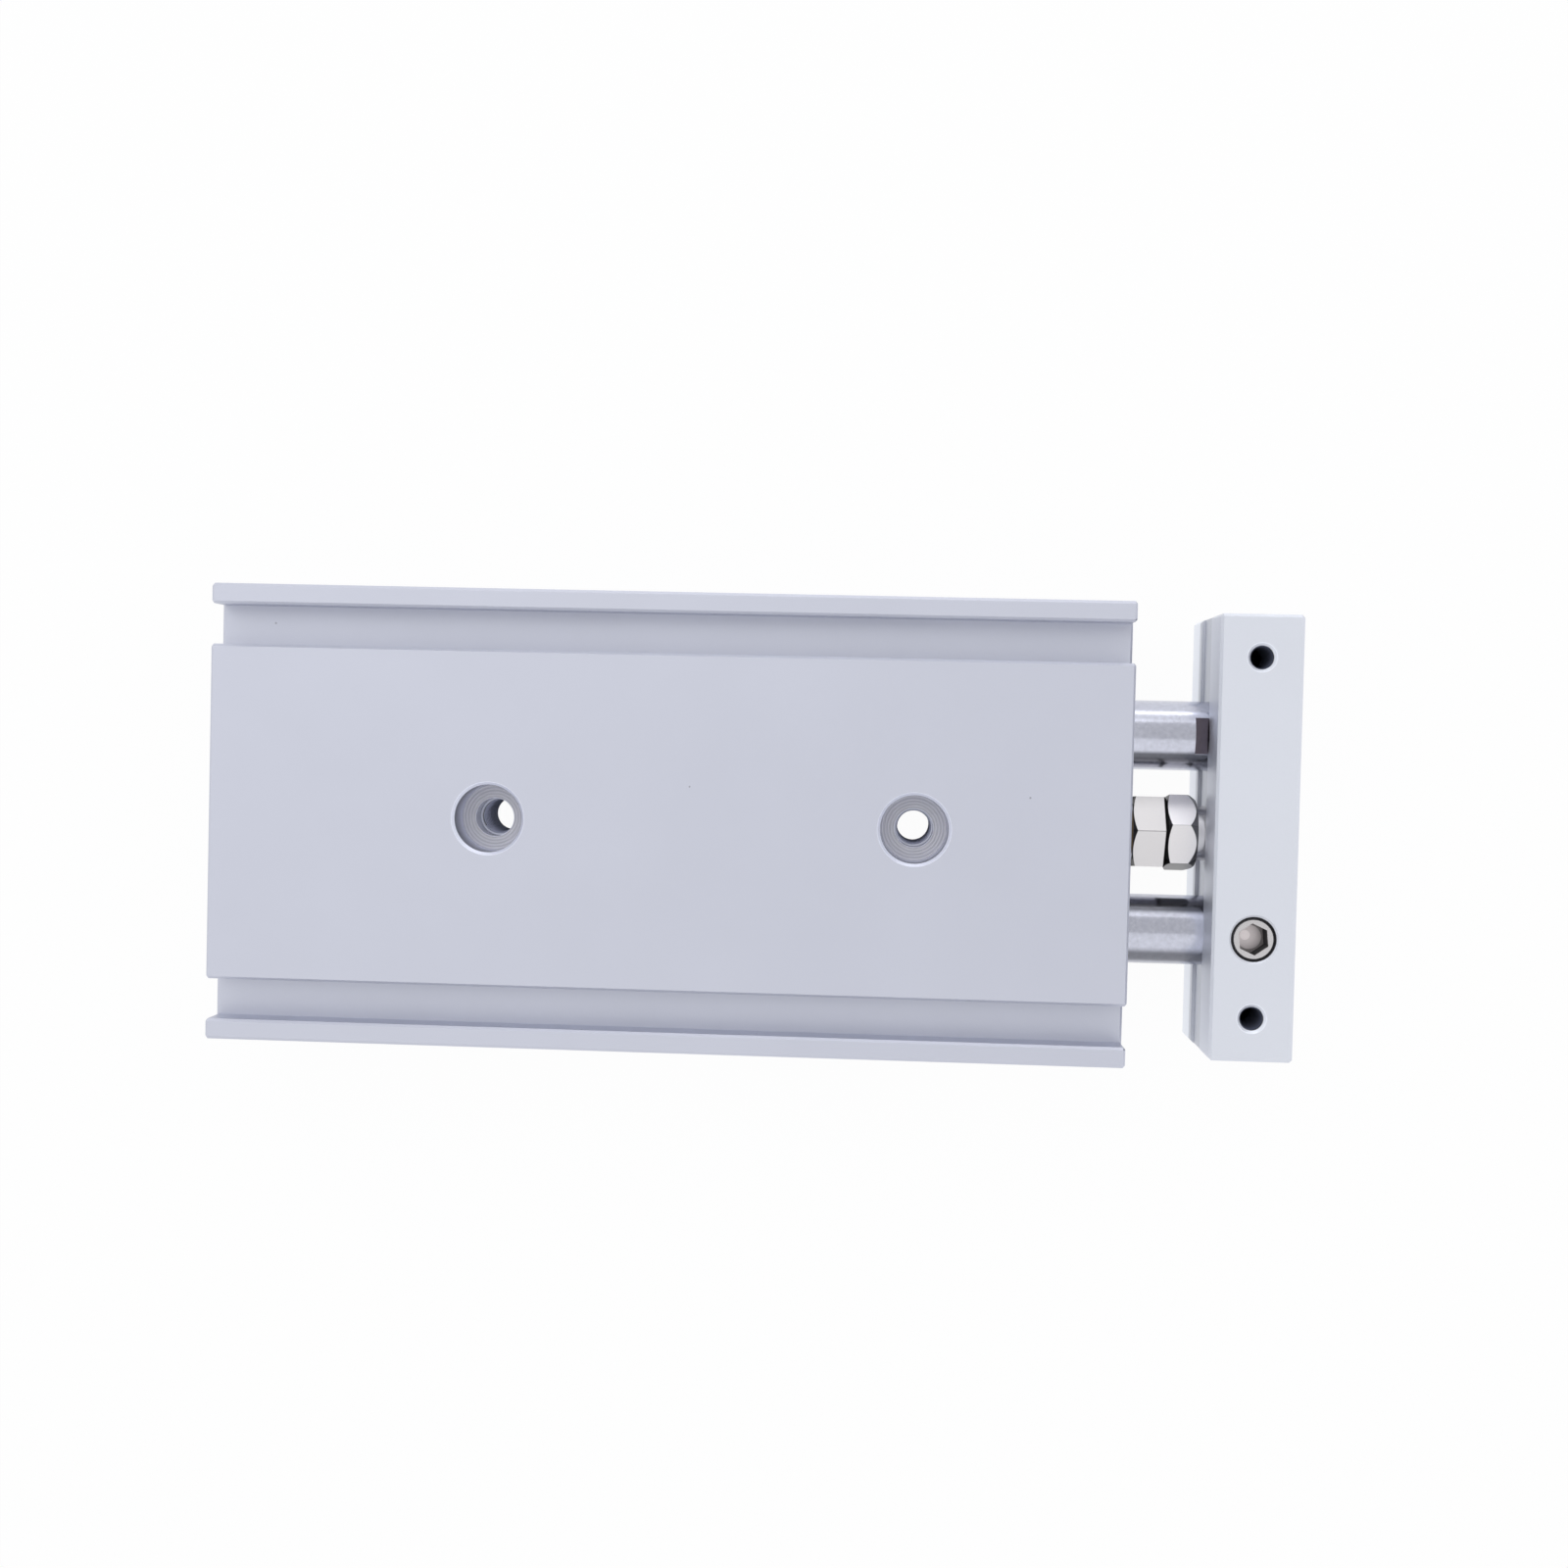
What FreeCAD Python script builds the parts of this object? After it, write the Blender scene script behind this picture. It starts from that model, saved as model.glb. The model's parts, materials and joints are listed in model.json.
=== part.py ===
import FreeCAD, Part
import os

import Sketcher
from FreeCAD import Vector

# Guided pneumatic cylinder with two rods, in millimetres.
# X is the stroke, with the rods pointing to +X; Y goes across the two bores; Z is up.
# The origin is on the housing's mounting face, midway between the two mounting holes.
# Bore a is the one at +Y, whose rod is bolted to the plate; bore b, at -Y, is held by the set screw.

DIMENSIONS = {
    # housing
    "stroke": (60, "working stroke"),
    "body_wid": (64.8, "housing, across both bores"),
    "body_hgt": (25, "housing, mounting face to grooved face"),
    "body_edge": (0.4, "bevel along the housing's outer edges"),
    "bore_dia": (20, "cylinder bore"),
    "rod_pitch": (28, "distance between the two bore axes"),
    "mouth_bevel": (0.8, "lead-in bevel of the bores"),
    "rail_wid": (2.9, "outer rail beside a sensor groove"),
    "groove_wid": (5.7, "sensor groove"),
    "groove_deep": (4.75, "sensor groove"),
    "groove_edge": (0.35, "bevel along the mouth of a sensor groove"),
    "end_edge": (0.3, "bevel round the end faces of the housing"),
    "hole_pitch": (60, "between the two mounting holes"),
    "hole_inset": (30, "rod end of the housing to the first mounting hole"),
    "screw_dia": (5.5, "mounting hole, clearance length"),
    "screw_deep": (8.8, "mounting hole, grooved face to the end of its clearance length"),
    "tapped_dia": (5, "mounting hole, tapped length"),
    "seat_dia": (9.5, "mounting hole, counterbore for the screw head"),
    "seat_deep": (5.35, "mounting hole, counterbore for the screw head"),
    "hole_bevel": (0.4, "bevel at the mouth of the mounting holes"),
    "port_dia": (4.2, "air port, tap drill"),
    "port_bevel": (0.4, "bevel at the mouth of the air ports"),
    "passage_dia": (3, "cross drilling that joins the two bores"),
    "front_port_inset": (24.6, "rod end of the housing to the front air port"),
    "rear_port_inset": (10, "tail of the housing to the rear air port"),
    # what closes the bores
    "slip_gap": (0.02, "radial gap of a part that slips into the bore"),
    "fit_gap": (0.05, "radial gap of a part that slides on a rod or in a bore"),
    "ring_inset": (1, "end face of the housing to its snap ring"),
    "ring_thk": (1, "snap ring"),
    "ring_play": (0.1, "snap ring in its groove, along the bore"),
    "ring_groove_dia": (21, "snap ring groove"),
    "ring_inner_dia": (17.6, "snap ring"),
    "ring_mouth": (5, "opening between the ends of a snap ring"),
    "lug_dia": (2.8, "lug of a snap ring"),
    "lug_hole_dia": (1.2, "plier hole in a lug"),
    "lug_circle_dia": (16.4, "circle that the lugs lie on"),
    "retainer_thk": (1, "washer that holds the rod seal in"),
    "retainer_gap": (0.6, "radial gap between that washer and the rod"),
    "cover_depth": (22.3, "rod end of the housing to the inner face of a rod cover"),
    "seal_dia": (15, "rod seal seat"),
    "seal_len": (4, "rod seal seat"),
    "relief_dia": (10.8, "grease relief between the two bearing lands of a rod cover"),
    "relief_len": (5, "grease relief"),
    "land_len": (4.5, "bearing land at the inner end of a rod cover"),
    "oring_thk": (1.44, "section of the static O-rings"),
    "oring_groove_dia": (17, "O-ring groove of the rod covers and head covers"),
    "oring_groove_wid": (2, "O-ring groove of the rod covers and head covers"),
    "oring_inset": (9.5, "front of a rod cover to its O-ring groove"),
    "head_depth": (12, "tail of the housing to the stop face of a head cover"),
    "head_disc_thk": (5.8, "full-bore part of a head cover"),
    "head_boss_dia": (13, "stop boss of a head cover"),
    "head_oring_inset": (1.9, "rear of a head cover to its O-ring groove"),
    "puller_dia": (3.3, "tapped puller hole in a head cover"),
    "puller_deep": (5, "tapped puller hole in a head cover"),
    # port plugs
    "plug_dia": (4.1, "port plug"),
    "plug_len": (5, "port plug"),
    "plug_hex": (2.5, "socket of a port plug, across flats"),
    "plug_hex_deep": (2.2, "socket of a port plug"),
    # pistons and rods
    "stop_gap": (0.3, "gap left before a piston's cushion meets its stop"),
    "cushion_thk": (3, "cushion ring on each face of a piston"),
    "cushion_dia": (14, "cushion ring"),
    "piston_len": (29.1, "piston"),
    "piston_gap": (0.4, "radial gap between piston and bore"),
    "magnet_gap": (0.8, "radial gap between magnet and bore"),
    "wear_inset": (3, "front of a piston to its wear ring"),
    "wear_wid": (7, "wear ring"),
    "wear_thk": (1.5, "wear ring"),
    "magnet_inset": (13, "front of a piston to its magnet"),
    "magnet_wid": (5, "magnet ring"),
    "magnet_thk": (3, "magnet ring"),
    "pseal_inset": (21, "front of a piston to its seal"),
    "pseal_wid": (4, "piston seal"),
    "pseal_thk": (2.6, "piston seal"),
    "spigot_dia": (8, "end of a rod inside its piston"),
    "spigot_len": (24, "end of a rod inside its piston"),
    "rod_dia": (10, "piston rod"),
    "rod_bevel": (0.5, "bevel at the plate end of a rod"),
    "flats_wid": (8.5, "spanner flats of rod a"),
    "flats_show": (1.9, "spanner flats of rod a, in front of the plate"),
    # plate
    "plate_thk": (11.5, "plate, along the stroke"),
    "plate_wid": (62, "plate, across both rods"),
    "plate_hgt": (24, "plate"),
    "plate_edge": (0.4, "bevel round the plate"),
    "channel_wid": (8.2, "shallow channel along the plate's inner face"),
    "channel_deep": (0.5, "shallow channel along the plate's inner face"),
    "rod_a_seat": (2.5, "plate's inner face to the end of rod a"),
    "rod_b_seat": (9.5, "plate's inner face to the end of rod b"),
    "load_dia": (4.2, "tapped holes for the load, in the plate's outer face"),
    "load_deep": (8.5, "tapped holes for the load, in the plate's outer face"),
    "load_pitch_wid": (41, "tapped holes for the load, across the plate"),
    "load_pitch_hgt": (14, "tapped holes for the load, up the plate"),
    "edge_hole_dia": (3.3, "holes through the plate's height, tapped from both edges"),
    "edge_hole_pitch": (50, "holes through the plate's height"),
    "edge_hole_bevel": (0.35, "bevel at the mouth of the plate's tapped holes"),
    # screws
    "thread_gap": (0.05, "radial gap between a screw and its hole"),
    "cap_dia": (4.9, "cap screw shank"),
    "cap_grip": (9, "cap screw length inside rod a"),
    "cap_head_dia": (8.5, "cap screw head"),
    "cap_head_thk": (5, "cap screw head"),
    "cap_seat_dia": (9.5, "counterbore for the cap screw head"),
    "cap_seat_deep": (5.4, "counterbore for the cap screw head"),
    "cap_hole_dia": (5.5, "clearance hole for the cap screw"),
    "cap_hex": (4, "socket of the cap screw, across flats"),
    "cap_hex_deep": (2.5, "socket of the cap screw"),
    "set_dia": (6, "set screw"),
    "set_drop": (0.35, "plate's top edge to the top of the set screw"),
    "set_bevel": (0.3, "bevel at the top of the set screw"),
    "set_turn": (5.5, "turn of the set screw's socket, degrees"),
    "set_hex": (3.9, "socket of the set screw, across flats"),
    "set_hex_deep": (3.6, "socket of the set screw"),
    # stroke-end bolt
    "pad_gap": (0.3, "housing to the rubber pad with the rods in"),
    "pad_proud": (0.9, "rubber pad in front of the bolt head"),
    "pad_sunk": (1.6, "rubber pad inside the bolt head"),
    "pad_dia": (6.4, "rubber pad"),
    "bolt_dia": (5.9, "stroke-end bolt shank"),
    "bolt_hex": (10, "bolt head and lock nut, across flats"),
    "bolt_head_thk": (4.6, "bolt head"),
    "bolt_show": (0.3, "thread between bolt head and lock nut"),
    "nut_thk": (4.3, "lock nut"),
    "washer_thk": (1.6, "washer under the lock nut"),
    "washer_dia": (7.9, "washer under the lock nut"),
    "bolt_turn": (-4, "turn of the bolt head, degrees"),
    "nut_turn": (-13.5, "turn of the lock nut, degrees"),
    "corner_slope": (30, "turned corners of the hexagons, degrees from the end face"),
    "nut_slope": (52, "turned corners of the lock nut beside the washer, degrees from its face"),
    "bolt_end": (1.5, "end of the bolt to the plate's outer face"),
}

# Places and sizes that follow from the dimensions, as expressions
AXIS_Z = "(Dims.body_hgt / 2)"
HALF_PITCH = "(Dims.rod_pitch / 2)"
HALF_WID = "(Dims.body_wid / 2)"
FRONT = "(Dims.hole_inset + Dims.hole_pitch / 2)"
BODY_LEN = (
    "(Dims.cover_depth + Dims.stroke + Dims.piston_len + 2 * Dims.cushion_thk"
    " + 2 * Dims.stop_gap + Dims.head_depth)"
)
TAIL = f"({FRONT} - {BODY_LEN})"
STACK_START = "(Dims.ring_inset + Dims.ring_thk)"
RING_GROOVE_END = f"({STACK_START} + Dims.ring_play)"
COVER_START = f"({STACK_START} + Dims.retainer_thk)"
COVER_LEN = f"(Dims.cover_depth - {COVER_START})"
HEAD_LEN = f"(Dims.head_depth - {STACK_START})"
PISTON_REAR = f"({TAIL} + Dims.head_depth + Dims.stop_gap + Dims.cushion_thk)"
PISTON_FRONT = f"({PISTON_REAR} + Dims.piston_len)"
BOLT_FACE = f"({FRONT} + Dims.pad_gap + Dims.pad_proud)"
NUT_FACE = f"({BOLT_FACE} + Dims.bolt_head_thk + Dims.bolt_show)"
WASHER_FACE = f"({NUT_FACE} + Dims.nut_thk)"
CHANNEL_FLOOR = f"({WASHER_FACE} + Dims.washer_thk)"
PLATE_FACE = f"({CHANNEL_FLOOR} - Dims.channel_deep)"
PLATE_MID = f"({PLATE_FACE} + Dims.plate_thk / 2)"
SLIP_RADIUS = "(Dims.bore_dia / 2 - Dims.slip_gap)"
PISTON_RADIUS = "(Dims.bore_dia / 2 - Dims.piston_gap)"
ROD_RADIUS = "(Dims.rod_dia / 2)"
ROD_HOLE_RADIUS = f"({ROD_RADIUS} + Dims.fit_gap)"
SIDES = {"a": "1", "b": "-1"}
OVERCUT = "1"
LIP_SHARE = "0.15"  # of a rod seal's length, thickness of each lip
MOUTH_SHARE = "0.5"  # of a rod seal's length, depth of its V-shaped mouth
TURNED_SHARE = "0.485"  # of a hexagon's flats, radius where its turned corners start
ORING_SIDES = 8
SAME = 1e-6

doc = FreeCAD.newDocument("GuidedCylinder")
sheet = doc.addObject("Spreadsheet::Sheet", "Dims")
for row, (alias, (value, note)) in enumerate(DIMENSIONS.items(), start=1):
    sheet.set(f"A{row}", alias)
    sheet.set(f"B{row}", str(value))
    sheet.set(f"C{row}", note)
    sheet.setAlias(f"B{row}", alias)
doc.recompute()

sub_parts = []


def number(expression):
    """Value of an expression as a plain number."""
    return float(sheet.evalExpression(expression))


def keep(part, label):
    """Name a finished sub-part and list it for export."""
    part.Label = label
    sub_parts.append(part)
    return part


def put(part, along="0", across="0", up="0"):
    """Bind the place of a part to expressions."""
    for axis, expression in (("x", along), ("y", across), ("z", up)):
        part.setExpression(f"Placement.Base.{axis}", expression)


def new_body(name):
    return doc.addObject("PartDesign::Body", name)


def new_sketch(body, name, role, offset=("0", "0", "0")):
    """Sketch on one of the body's own planes, moved by offset in the plane's axes."""
    sketch = body.newObject("Sketcher::SketchObject", name)
    plane = next(item for item in body.Origin.OriginFeatures if item.Role == role)
    sketch.AttachmentSupport = [(plane, "")]
    sketch.MapMode = "FlatFace"
    for axis, expression in zip("xyz", offset):
        sketch.setExpression(f"AttachmentOffset.Base.{axis}", expression)
    return sketch


def bind(sketch, kind, references, expression):
    """Add one dimension to a sketch and bind it to an expression."""
    index = sketch.addConstraint(Sketcher.Constraint(kind, *references, number(expression)))
    name = f"{kind}_{index}"
    sketch.renameConstraint(index, name)
    sketch.setExpression(f"Constraints.{name}", expression)


def add_outline(sketch, points):
    """Closed outline through points, each a pair of expressions."""
    places = [Vector(number(first), number(second), 0) for first, second in points]
    following = places[1:] + places[:1]
    lines = [
        sketch.addGeometry(Part.LineSegment(start, end), False)
        for start, end in zip(places, following)
    ]
    for line, after in zip(lines, lines[1:] + lines[:1]):
        sketch.addConstraint(Sketcher.Constraint("Coincident", line, 2, after, 1))
    for line, (first, second) in zip(lines, points):
        bind(sketch, "DistanceX", (-1, 1, line, 1), first)
        bind(sketch, "DistanceY", (-1, 1, line, 1), second)


def add_circle(sketch, first, second, diameter):
    """Circle at a place given by two expressions."""
    centre = Vector(number(first), number(second), 0)
    circle = sketch.addGeometry(Part.Circle(centre, Vector(0, 0, 1), number(diameter) / 2), False)
    bind(sketch, "DistanceX", (-1, 1, circle, 3), first)
    bind(sketch, "DistanceY", (-1, 1, circle, 3), second)
    bind(sketch, "Diameter", (circle,), diameter)


def add_hexagon(sketch, flats, turn="0"):
    """Hexagon about the sketch's origin, with a corner on its second axis before it is turned."""
    points = []
    for corner in range(6):
        angle = f"({90 + 60 * corner} + {turn})"
        reach = f"({flats}) / sqrt(3)"
        points.append((f"{reach} * cos({angle} * 1 deg)", f"{reach} * sin({angle} * 1 deg)"))
    add_outline(sketch, points)


def rectangle(low_first, low_second, high_first, high_second):
    return [
        (low_first, low_second),
        (high_first, low_second),
        (high_first, high_second),
        (low_first, high_second),
    ]


def pad(body, sketch, length):
    feature = body.newObject("PartDesign::Pad", f"{sketch.Name}_pad")
    feature.Profile = sketch
    feature.setExpression("Length", length)
    doc.recompute()
    return feature


def pocket(body, sketch, depth, forward=False):
    """Cut against the sketch's normal, or along it when forward; it has to remove material."""
    before = body.Shape.Volume
    feature = body.newObject("PartDesign::Pocket", f"{sketch.Name}_pocket")
    feature.Profile = sketch
    feature.Reversed = forward
    feature.setExpression("Length", depth)
    doc.recompute()
    if feature.Shape.Volume >= before:
        raise RuntimeError(f"{feature.Name} cuts nothing")
    return feature


def turn(body, sketch, kind="PartDesign::Revolution"):
    """Turn a sketch about its own first axis, as a solid or as a groove."""
    feature = body.newObject(kind, f"{sketch.Name}_turned")
    feature.Profile = sketch
    feature.ReferenceAxis = (sketch, ["H_Axis"])
    feature.Angle = 360
    doc.recompute()
    return feature


def bevel(body, size, chosen):
    """Chamfer the edges of a body that the test picks out."""
    names = [f"Edge{i}" for i, edge in enumerate(body.Shape.Edges, start=1) if chosen(edge)]
    if not names:
        raise RuntimeError(f"{body.Name} has no such edge to bevel")
    base = body.Tip
    feature = body.newObject("PartDesign::Chamfer", f"{body.Name}_bevel")
    feature.Base = (base, names)
    feature.setExpression("Size", size)
    doc.recompute()
    return feature


def is_circle(edge, diameter, axis, level):
    """True for a whole circle of this diameter that lies across axis at this level."""
    curve = edge.Curve
    return (
        isinstance(curve, Part.Circle)
        and abs(curve.Radius * 2 - number(diameter)) < SAME
        and abs(curve.Center.dot(axis) - number(level)) < SAME
        and curve.Axis.cross(axis).Length < SAME
    )


def is_straight_on(edge, axis, level):
    """True for a straight edge that lies wholly at this level along axis."""
    return isinstance(edge.Curve, Part.Line) and all(
        abs(vertex.Point.dot(axis) - number(level)) < SAME for vertex in edge.Vertexes
    )


def turned_part(label, profile, along, across, up=AXIS_Z):
    """Body turned about an axis along X; profile holds pairs of distance along X and radius."""
    body = new_body(label)
    sketch = new_sketch(body, f"{label}_profile", "XY_Plane")
    add_outline(sketch, profile)
    turn(body, sketch)
    put(body, along, across, up)
    return keep(body, label)


def hollow_profile(start, end, inner, outer):
    """Plain ring between two distances and two radii."""
    return rectangle(start, inner, end, outer)


def across_of(side):
    """Y of the axis of bore a or b."""
    return f"({SIDES[side]} * {HALF_PITCH})"


# --- housing ---------------------------------------------------------------------------------


def groove_side(sign):
    """Points of the grooved face on one side, from the main face outwards."""
    wall = f"({HALF_WID} - Dims.rail_wid)"
    inner = f"({wall} - Dims.groove_wid)"
    floor = "(Dims.body_hgt - Dims.groove_deep)"
    edge = "Dims.groove_edge"
    return [
        (f"{sign} * ({inner} - {edge})", "Dims.body_hgt"),
        (f"{sign} * {inner}", f"Dims.body_hgt - {edge}"),
        (f"{sign} * {inner}", floor),
        (f"{sign} * {wall}", floor),
        (f"{sign} * {wall}", f"Dims.body_hgt - {edge}"),
        (f"{sign} * ({wall} + {edge})", "Dims.body_hgt"),
        (f"{sign} * ({HALF_WID} - Dims.body_edge)", "Dims.body_hgt"),
        (f"{sign} * {HALF_WID}", "Dims.body_hgt - Dims.body_edge"),
        (f"{sign} * {HALF_WID}", "Dims.body_edge"),
        (f"{sign} * ({HALF_WID} - Dims.body_edge)", "0"),
    ]


def make_housing():
    """Extruded bar with two bores and two sensor grooves, then its drillings."""
    body = new_body("housing")
    section = new_sketch(body, "section", "YZ_Plane", ("0", "0", TAIL))
    add_outline(section, groove_side("1") + groove_side("-1")[::-1])
    for side in SIDES:
        add_circle(section, across_of(side), AXIS_Z, "Dims.bore_dia")
    pad(body, section, BODY_LEN)

    # mounting holes, each seated for a screw head from both faces and tapped between
    for name, diameter, level, depth, forward in (
        ("tapped_holes", "Dims.tapped_dia", "0", "Dims.body_hgt", True),
        ("lower_seats", "Dims.seat_dia", "0", "Dims.seat_deep", True),
        ("screw_holes", "Dims.screw_dia", "Dims.body_hgt", "Dims.screw_deep", False),
        ("upper_seats", "Dims.seat_dia", "Dims.body_hgt", "Dims.seat_deep", False),
    ):
        sketch = new_sketch(body, name, "XY_Plane", ("0", "0", level))
        for end in ("1", "-1"):
            add_circle(sketch, f"{end} * Dims.hole_pitch / 2", "0", diameter)
        pocket(body, sketch, depth, forward)

    # air passages: one drilling joins the two bores, and a tapped port opens it on each side
    port_places = (f"{FRONT} - Dims.front_port_inset", f"{TAIL} + Dims.rear_port_inset")
    passages = new_sketch(body, "passages", "XZ_Plane", ("0", "0", HALF_WID))
    for along in port_places:
        add_circle(passages, along, AXIS_Z, "Dims.passage_dia")
    pocket(body, passages, "Dims.body_wid")
    for name, level, forward in (("ports_b", HALF_WID, False), ("ports_a", f"-{HALF_WID}", True)):
        ports = new_sketch(body, name, "XZ_Plane", ("0", "0", level))
        for along in port_places:
            add_circle(ports, along, AXIS_Z, "Dims.port_dia")
        pocket(body, ports, f"{HALF_WID} - {HALF_PITCH}", forward)

    # snap ring grooves and lead-in bevels, turned at both ends of each bore
    bore = "(Dims.bore_dia / 2)"
    groove = "(Dims.ring_groove_dia / 2)"
    inside = f"({bore} - {OVERCUT})"
    for side in SIDES:
        cuts = new_sketch(body, f"ring_grooves_{side}", "XY_Plane", ("0", across_of(side), AXIS_Z))
        for end, way in ((FRONT, "-1"), (TAIL, "1")):
            near = f"{end} + {way} * Dims.ring_inset"
            far = f"{end} + {way} * {RING_GROOVE_END}"
            add_outline(cuts, rectangle(near, inside, far, groove))
            add_outline(
                cuts,
                [
                    (end, inside),
                    (end, f"{bore} + Dims.mouth_bevel"),
                    (f"{end} + {way} * Dims.mouth_bevel", bore),
                    (f"{end} + {way} * Dims.mouth_bevel", inside),
                ],
            )
        turn(body, cuts, "PartDesign::Groove")

    along, sideways, upward = Vector(1, 0, 0), Vector(0, 1, 0), Vector(0, 0, 1)
    bevel(
        body,
        "Dims.end_edge",
        lambda edge: is_straight_on(edge, along, FRONT) or is_straight_on(edge, along, TAIL),
    )
    bevel(
        body,
        "Dims.hole_bevel",
        lambda edge: is_circle(edge, "Dims.seat_dia", upward, "Dims.body_hgt")
        or is_circle(edge, "Dims.seat_dia", upward, "0"),
    )
    bevel(
        body,
        "Dims.port_bevel",
        lambda edge: is_circle(edge, "Dims.port_dia", sideways, HALF_WID)
        or is_circle(edge, "Dims.port_dia", sideways, f"-{HALF_WID}"),
    )
    return keep(body, "housing")


# --- what closes the bores -------------------------------------------------------------------


def make_rod_cover(side):
    """Bearing bush with a seat for the rod seal, an O-ring groove and a grease relief."""
    length = COVER_LEN
    seat = "(Dims.seal_dia / 2)"
    groove = "Dims.oring_inset"
    groove_end = "Dims.oring_inset + Dims.oring_groove_wid"
    relief = "(Dims.relief_dia / 2)"
    relief_end = f"({length} - Dims.land_len)"
    relief_start = f"({relief_end} - Dims.relief_len)"
    # the profile is measured from the cover's front face, inwards
    profile = [
        ("0", seat),
        ("0", SLIP_RADIUS),
        (groove, SLIP_RADIUS),
        (groove, "Dims.oring_groove_dia / 2"),
        (groove_end, "Dims.oring_groove_dia / 2"),
        (groove_end, SLIP_RADIUS),
        (length, SLIP_RADIUS),
        (length, ROD_HOLE_RADIUS),
        (relief_end, ROD_HOLE_RADIUS),
        (relief_end, relief),
        (relief_start, relief),
        (relief_start, ROD_HOLE_RADIUS),
        ("Dims.seal_len", ROD_HOLE_RADIUS),
        ("Dims.seal_len", seat),
    ]
    mirrored = [(f"{length} - ({along})", radius) for along, radius in profile]
    return turned_part(f"rod_cover_{side}", mirrored, f"{FRONT} - Dims.cover_depth", across_of(side))


def make_rod_seal(side):
    """Lip seal: a ring with a V-shaped mouth towards the pressure side."""
    outer = "(Dims.seal_dia / 2 - Dims.slip_gap)"
    middle = f"(({outer} + {ROD_HOLE_RADIUS}) / 2)"
    lip = f"(Dims.seal_len * {LIP_SHARE})"
    mouth = f"(Dims.seal_len * {MOUTH_SHARE})"
    profile = [
        ("Dims.slip_gap", f"{ROD_HOLE_RADIUS} + {lip}"),
        (lip, ROD_HOLE_RADIUS),
        ("Dims.seal_len", ROD_HOLE_RADIUS),
        ("Dims.seal_len", outer),
        ("Dims.slip_gap", outer),
        ("Dims.slip_gap", f"{middle} + {lip}"),
        (mouth, middle),
        ("Dims.slip_gap", f"{middle} - {lip} / 2"),
    ]
    along = f"{FRONT} - {COVER_START} - Dims.seal_len"
    return turned_part(f"rod_seal_{side}", profile, along, across_of(side))


def make_seal_retainer(side):
    """Washer between the snap ring and the rod cover, which keeps the seal in."""
    inner = f"{ROD_RADIUS} + Dims.retainer_gap"
    profile = hollow_profile("0", "Dims.retainer_thk", inner, SLIP_RADIUS)
    return turned_part(f"seal_retainer_{side}", profile, f"{FRONT} - {COVER_START}", across_of(side))


def make_head_cover(side):
    """Disc that closes the tail of a bore, with a stop boss, an O-ring groove and a puller hole."""
    groove = "Dims.head_oring_inset"
    groove_end = "Dims.head_oring_inset + Dims.oring_groove_wid"
    hole = "Dims.puller_dia / 2"
    profile = [
        ("0", hole),
        ("0", SLIP_RADIUS),
        (groove, SLIP_RADIUS),
        (groove, "Dims.oring_groove_dia / 2"),
        (groove_end, "Dims.oring_groove_dia / 2"),
        (groove_end, SLIP_RADIUS),
        ("Dims.head_disc_thk", SLIP_RADIUS),
        ("Dims.head_disc_thk", "Dims.head_boss_dia / 2"),
        (HEAD_LEN, "Dims.head_boss_dia / 2"),
        (HEAD_LEN, "0"),
        ("Dims.puller_deep", "0"),
        ("Dims.puller_deep", hole),
    ]
    return turned_part(f"head_cover_{side}", profile, f"{TAIL} + {STACK_START}", across_of(side))


def make_o_ring(label, side, along):
    """Static O-ring, flattened where it is pressed between its groove and the bore."""
    middle = "((Dims.oring_groove_dia + Dims.bore_dia) / 4)"
    half_step = f"(180 deg / {ORING_SIDES})"
    reach = f"(Dims.oring_thk / 2 / cos({half_step}))"
    profile = []
    for corner in range(ORING_SIDES):
        angle = f"({2 * corner + 1} * {half_step})"
        profile.append((f"{reach} * cos({angle})", f"{middle} + {reach} * sin({angle})"))
    return turned_part(label, profile, along, across_of(side))


def cylinder(name, radius, length, along, across, up):
    """Cylinder along X."""
    part = doc.addObject("Part::Cylinder", name)
    part.setExpression("Radius", radius)
    part.setExpression("Height", length)
    part.Placement.Rotation = FreeCAD.Rotation(Vector(0, 1, 0), 90)
    put(part, along, across, up)
    return part


def combine(kind, name, shapes):
    """Part boolean of several shapes."""
    result = doc.addObject(kind, name)
    if kind == "Part::Cut":
        result.Base, result.Tool = shapes
    else:
        result.Shapes = shapes
    return result


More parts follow.
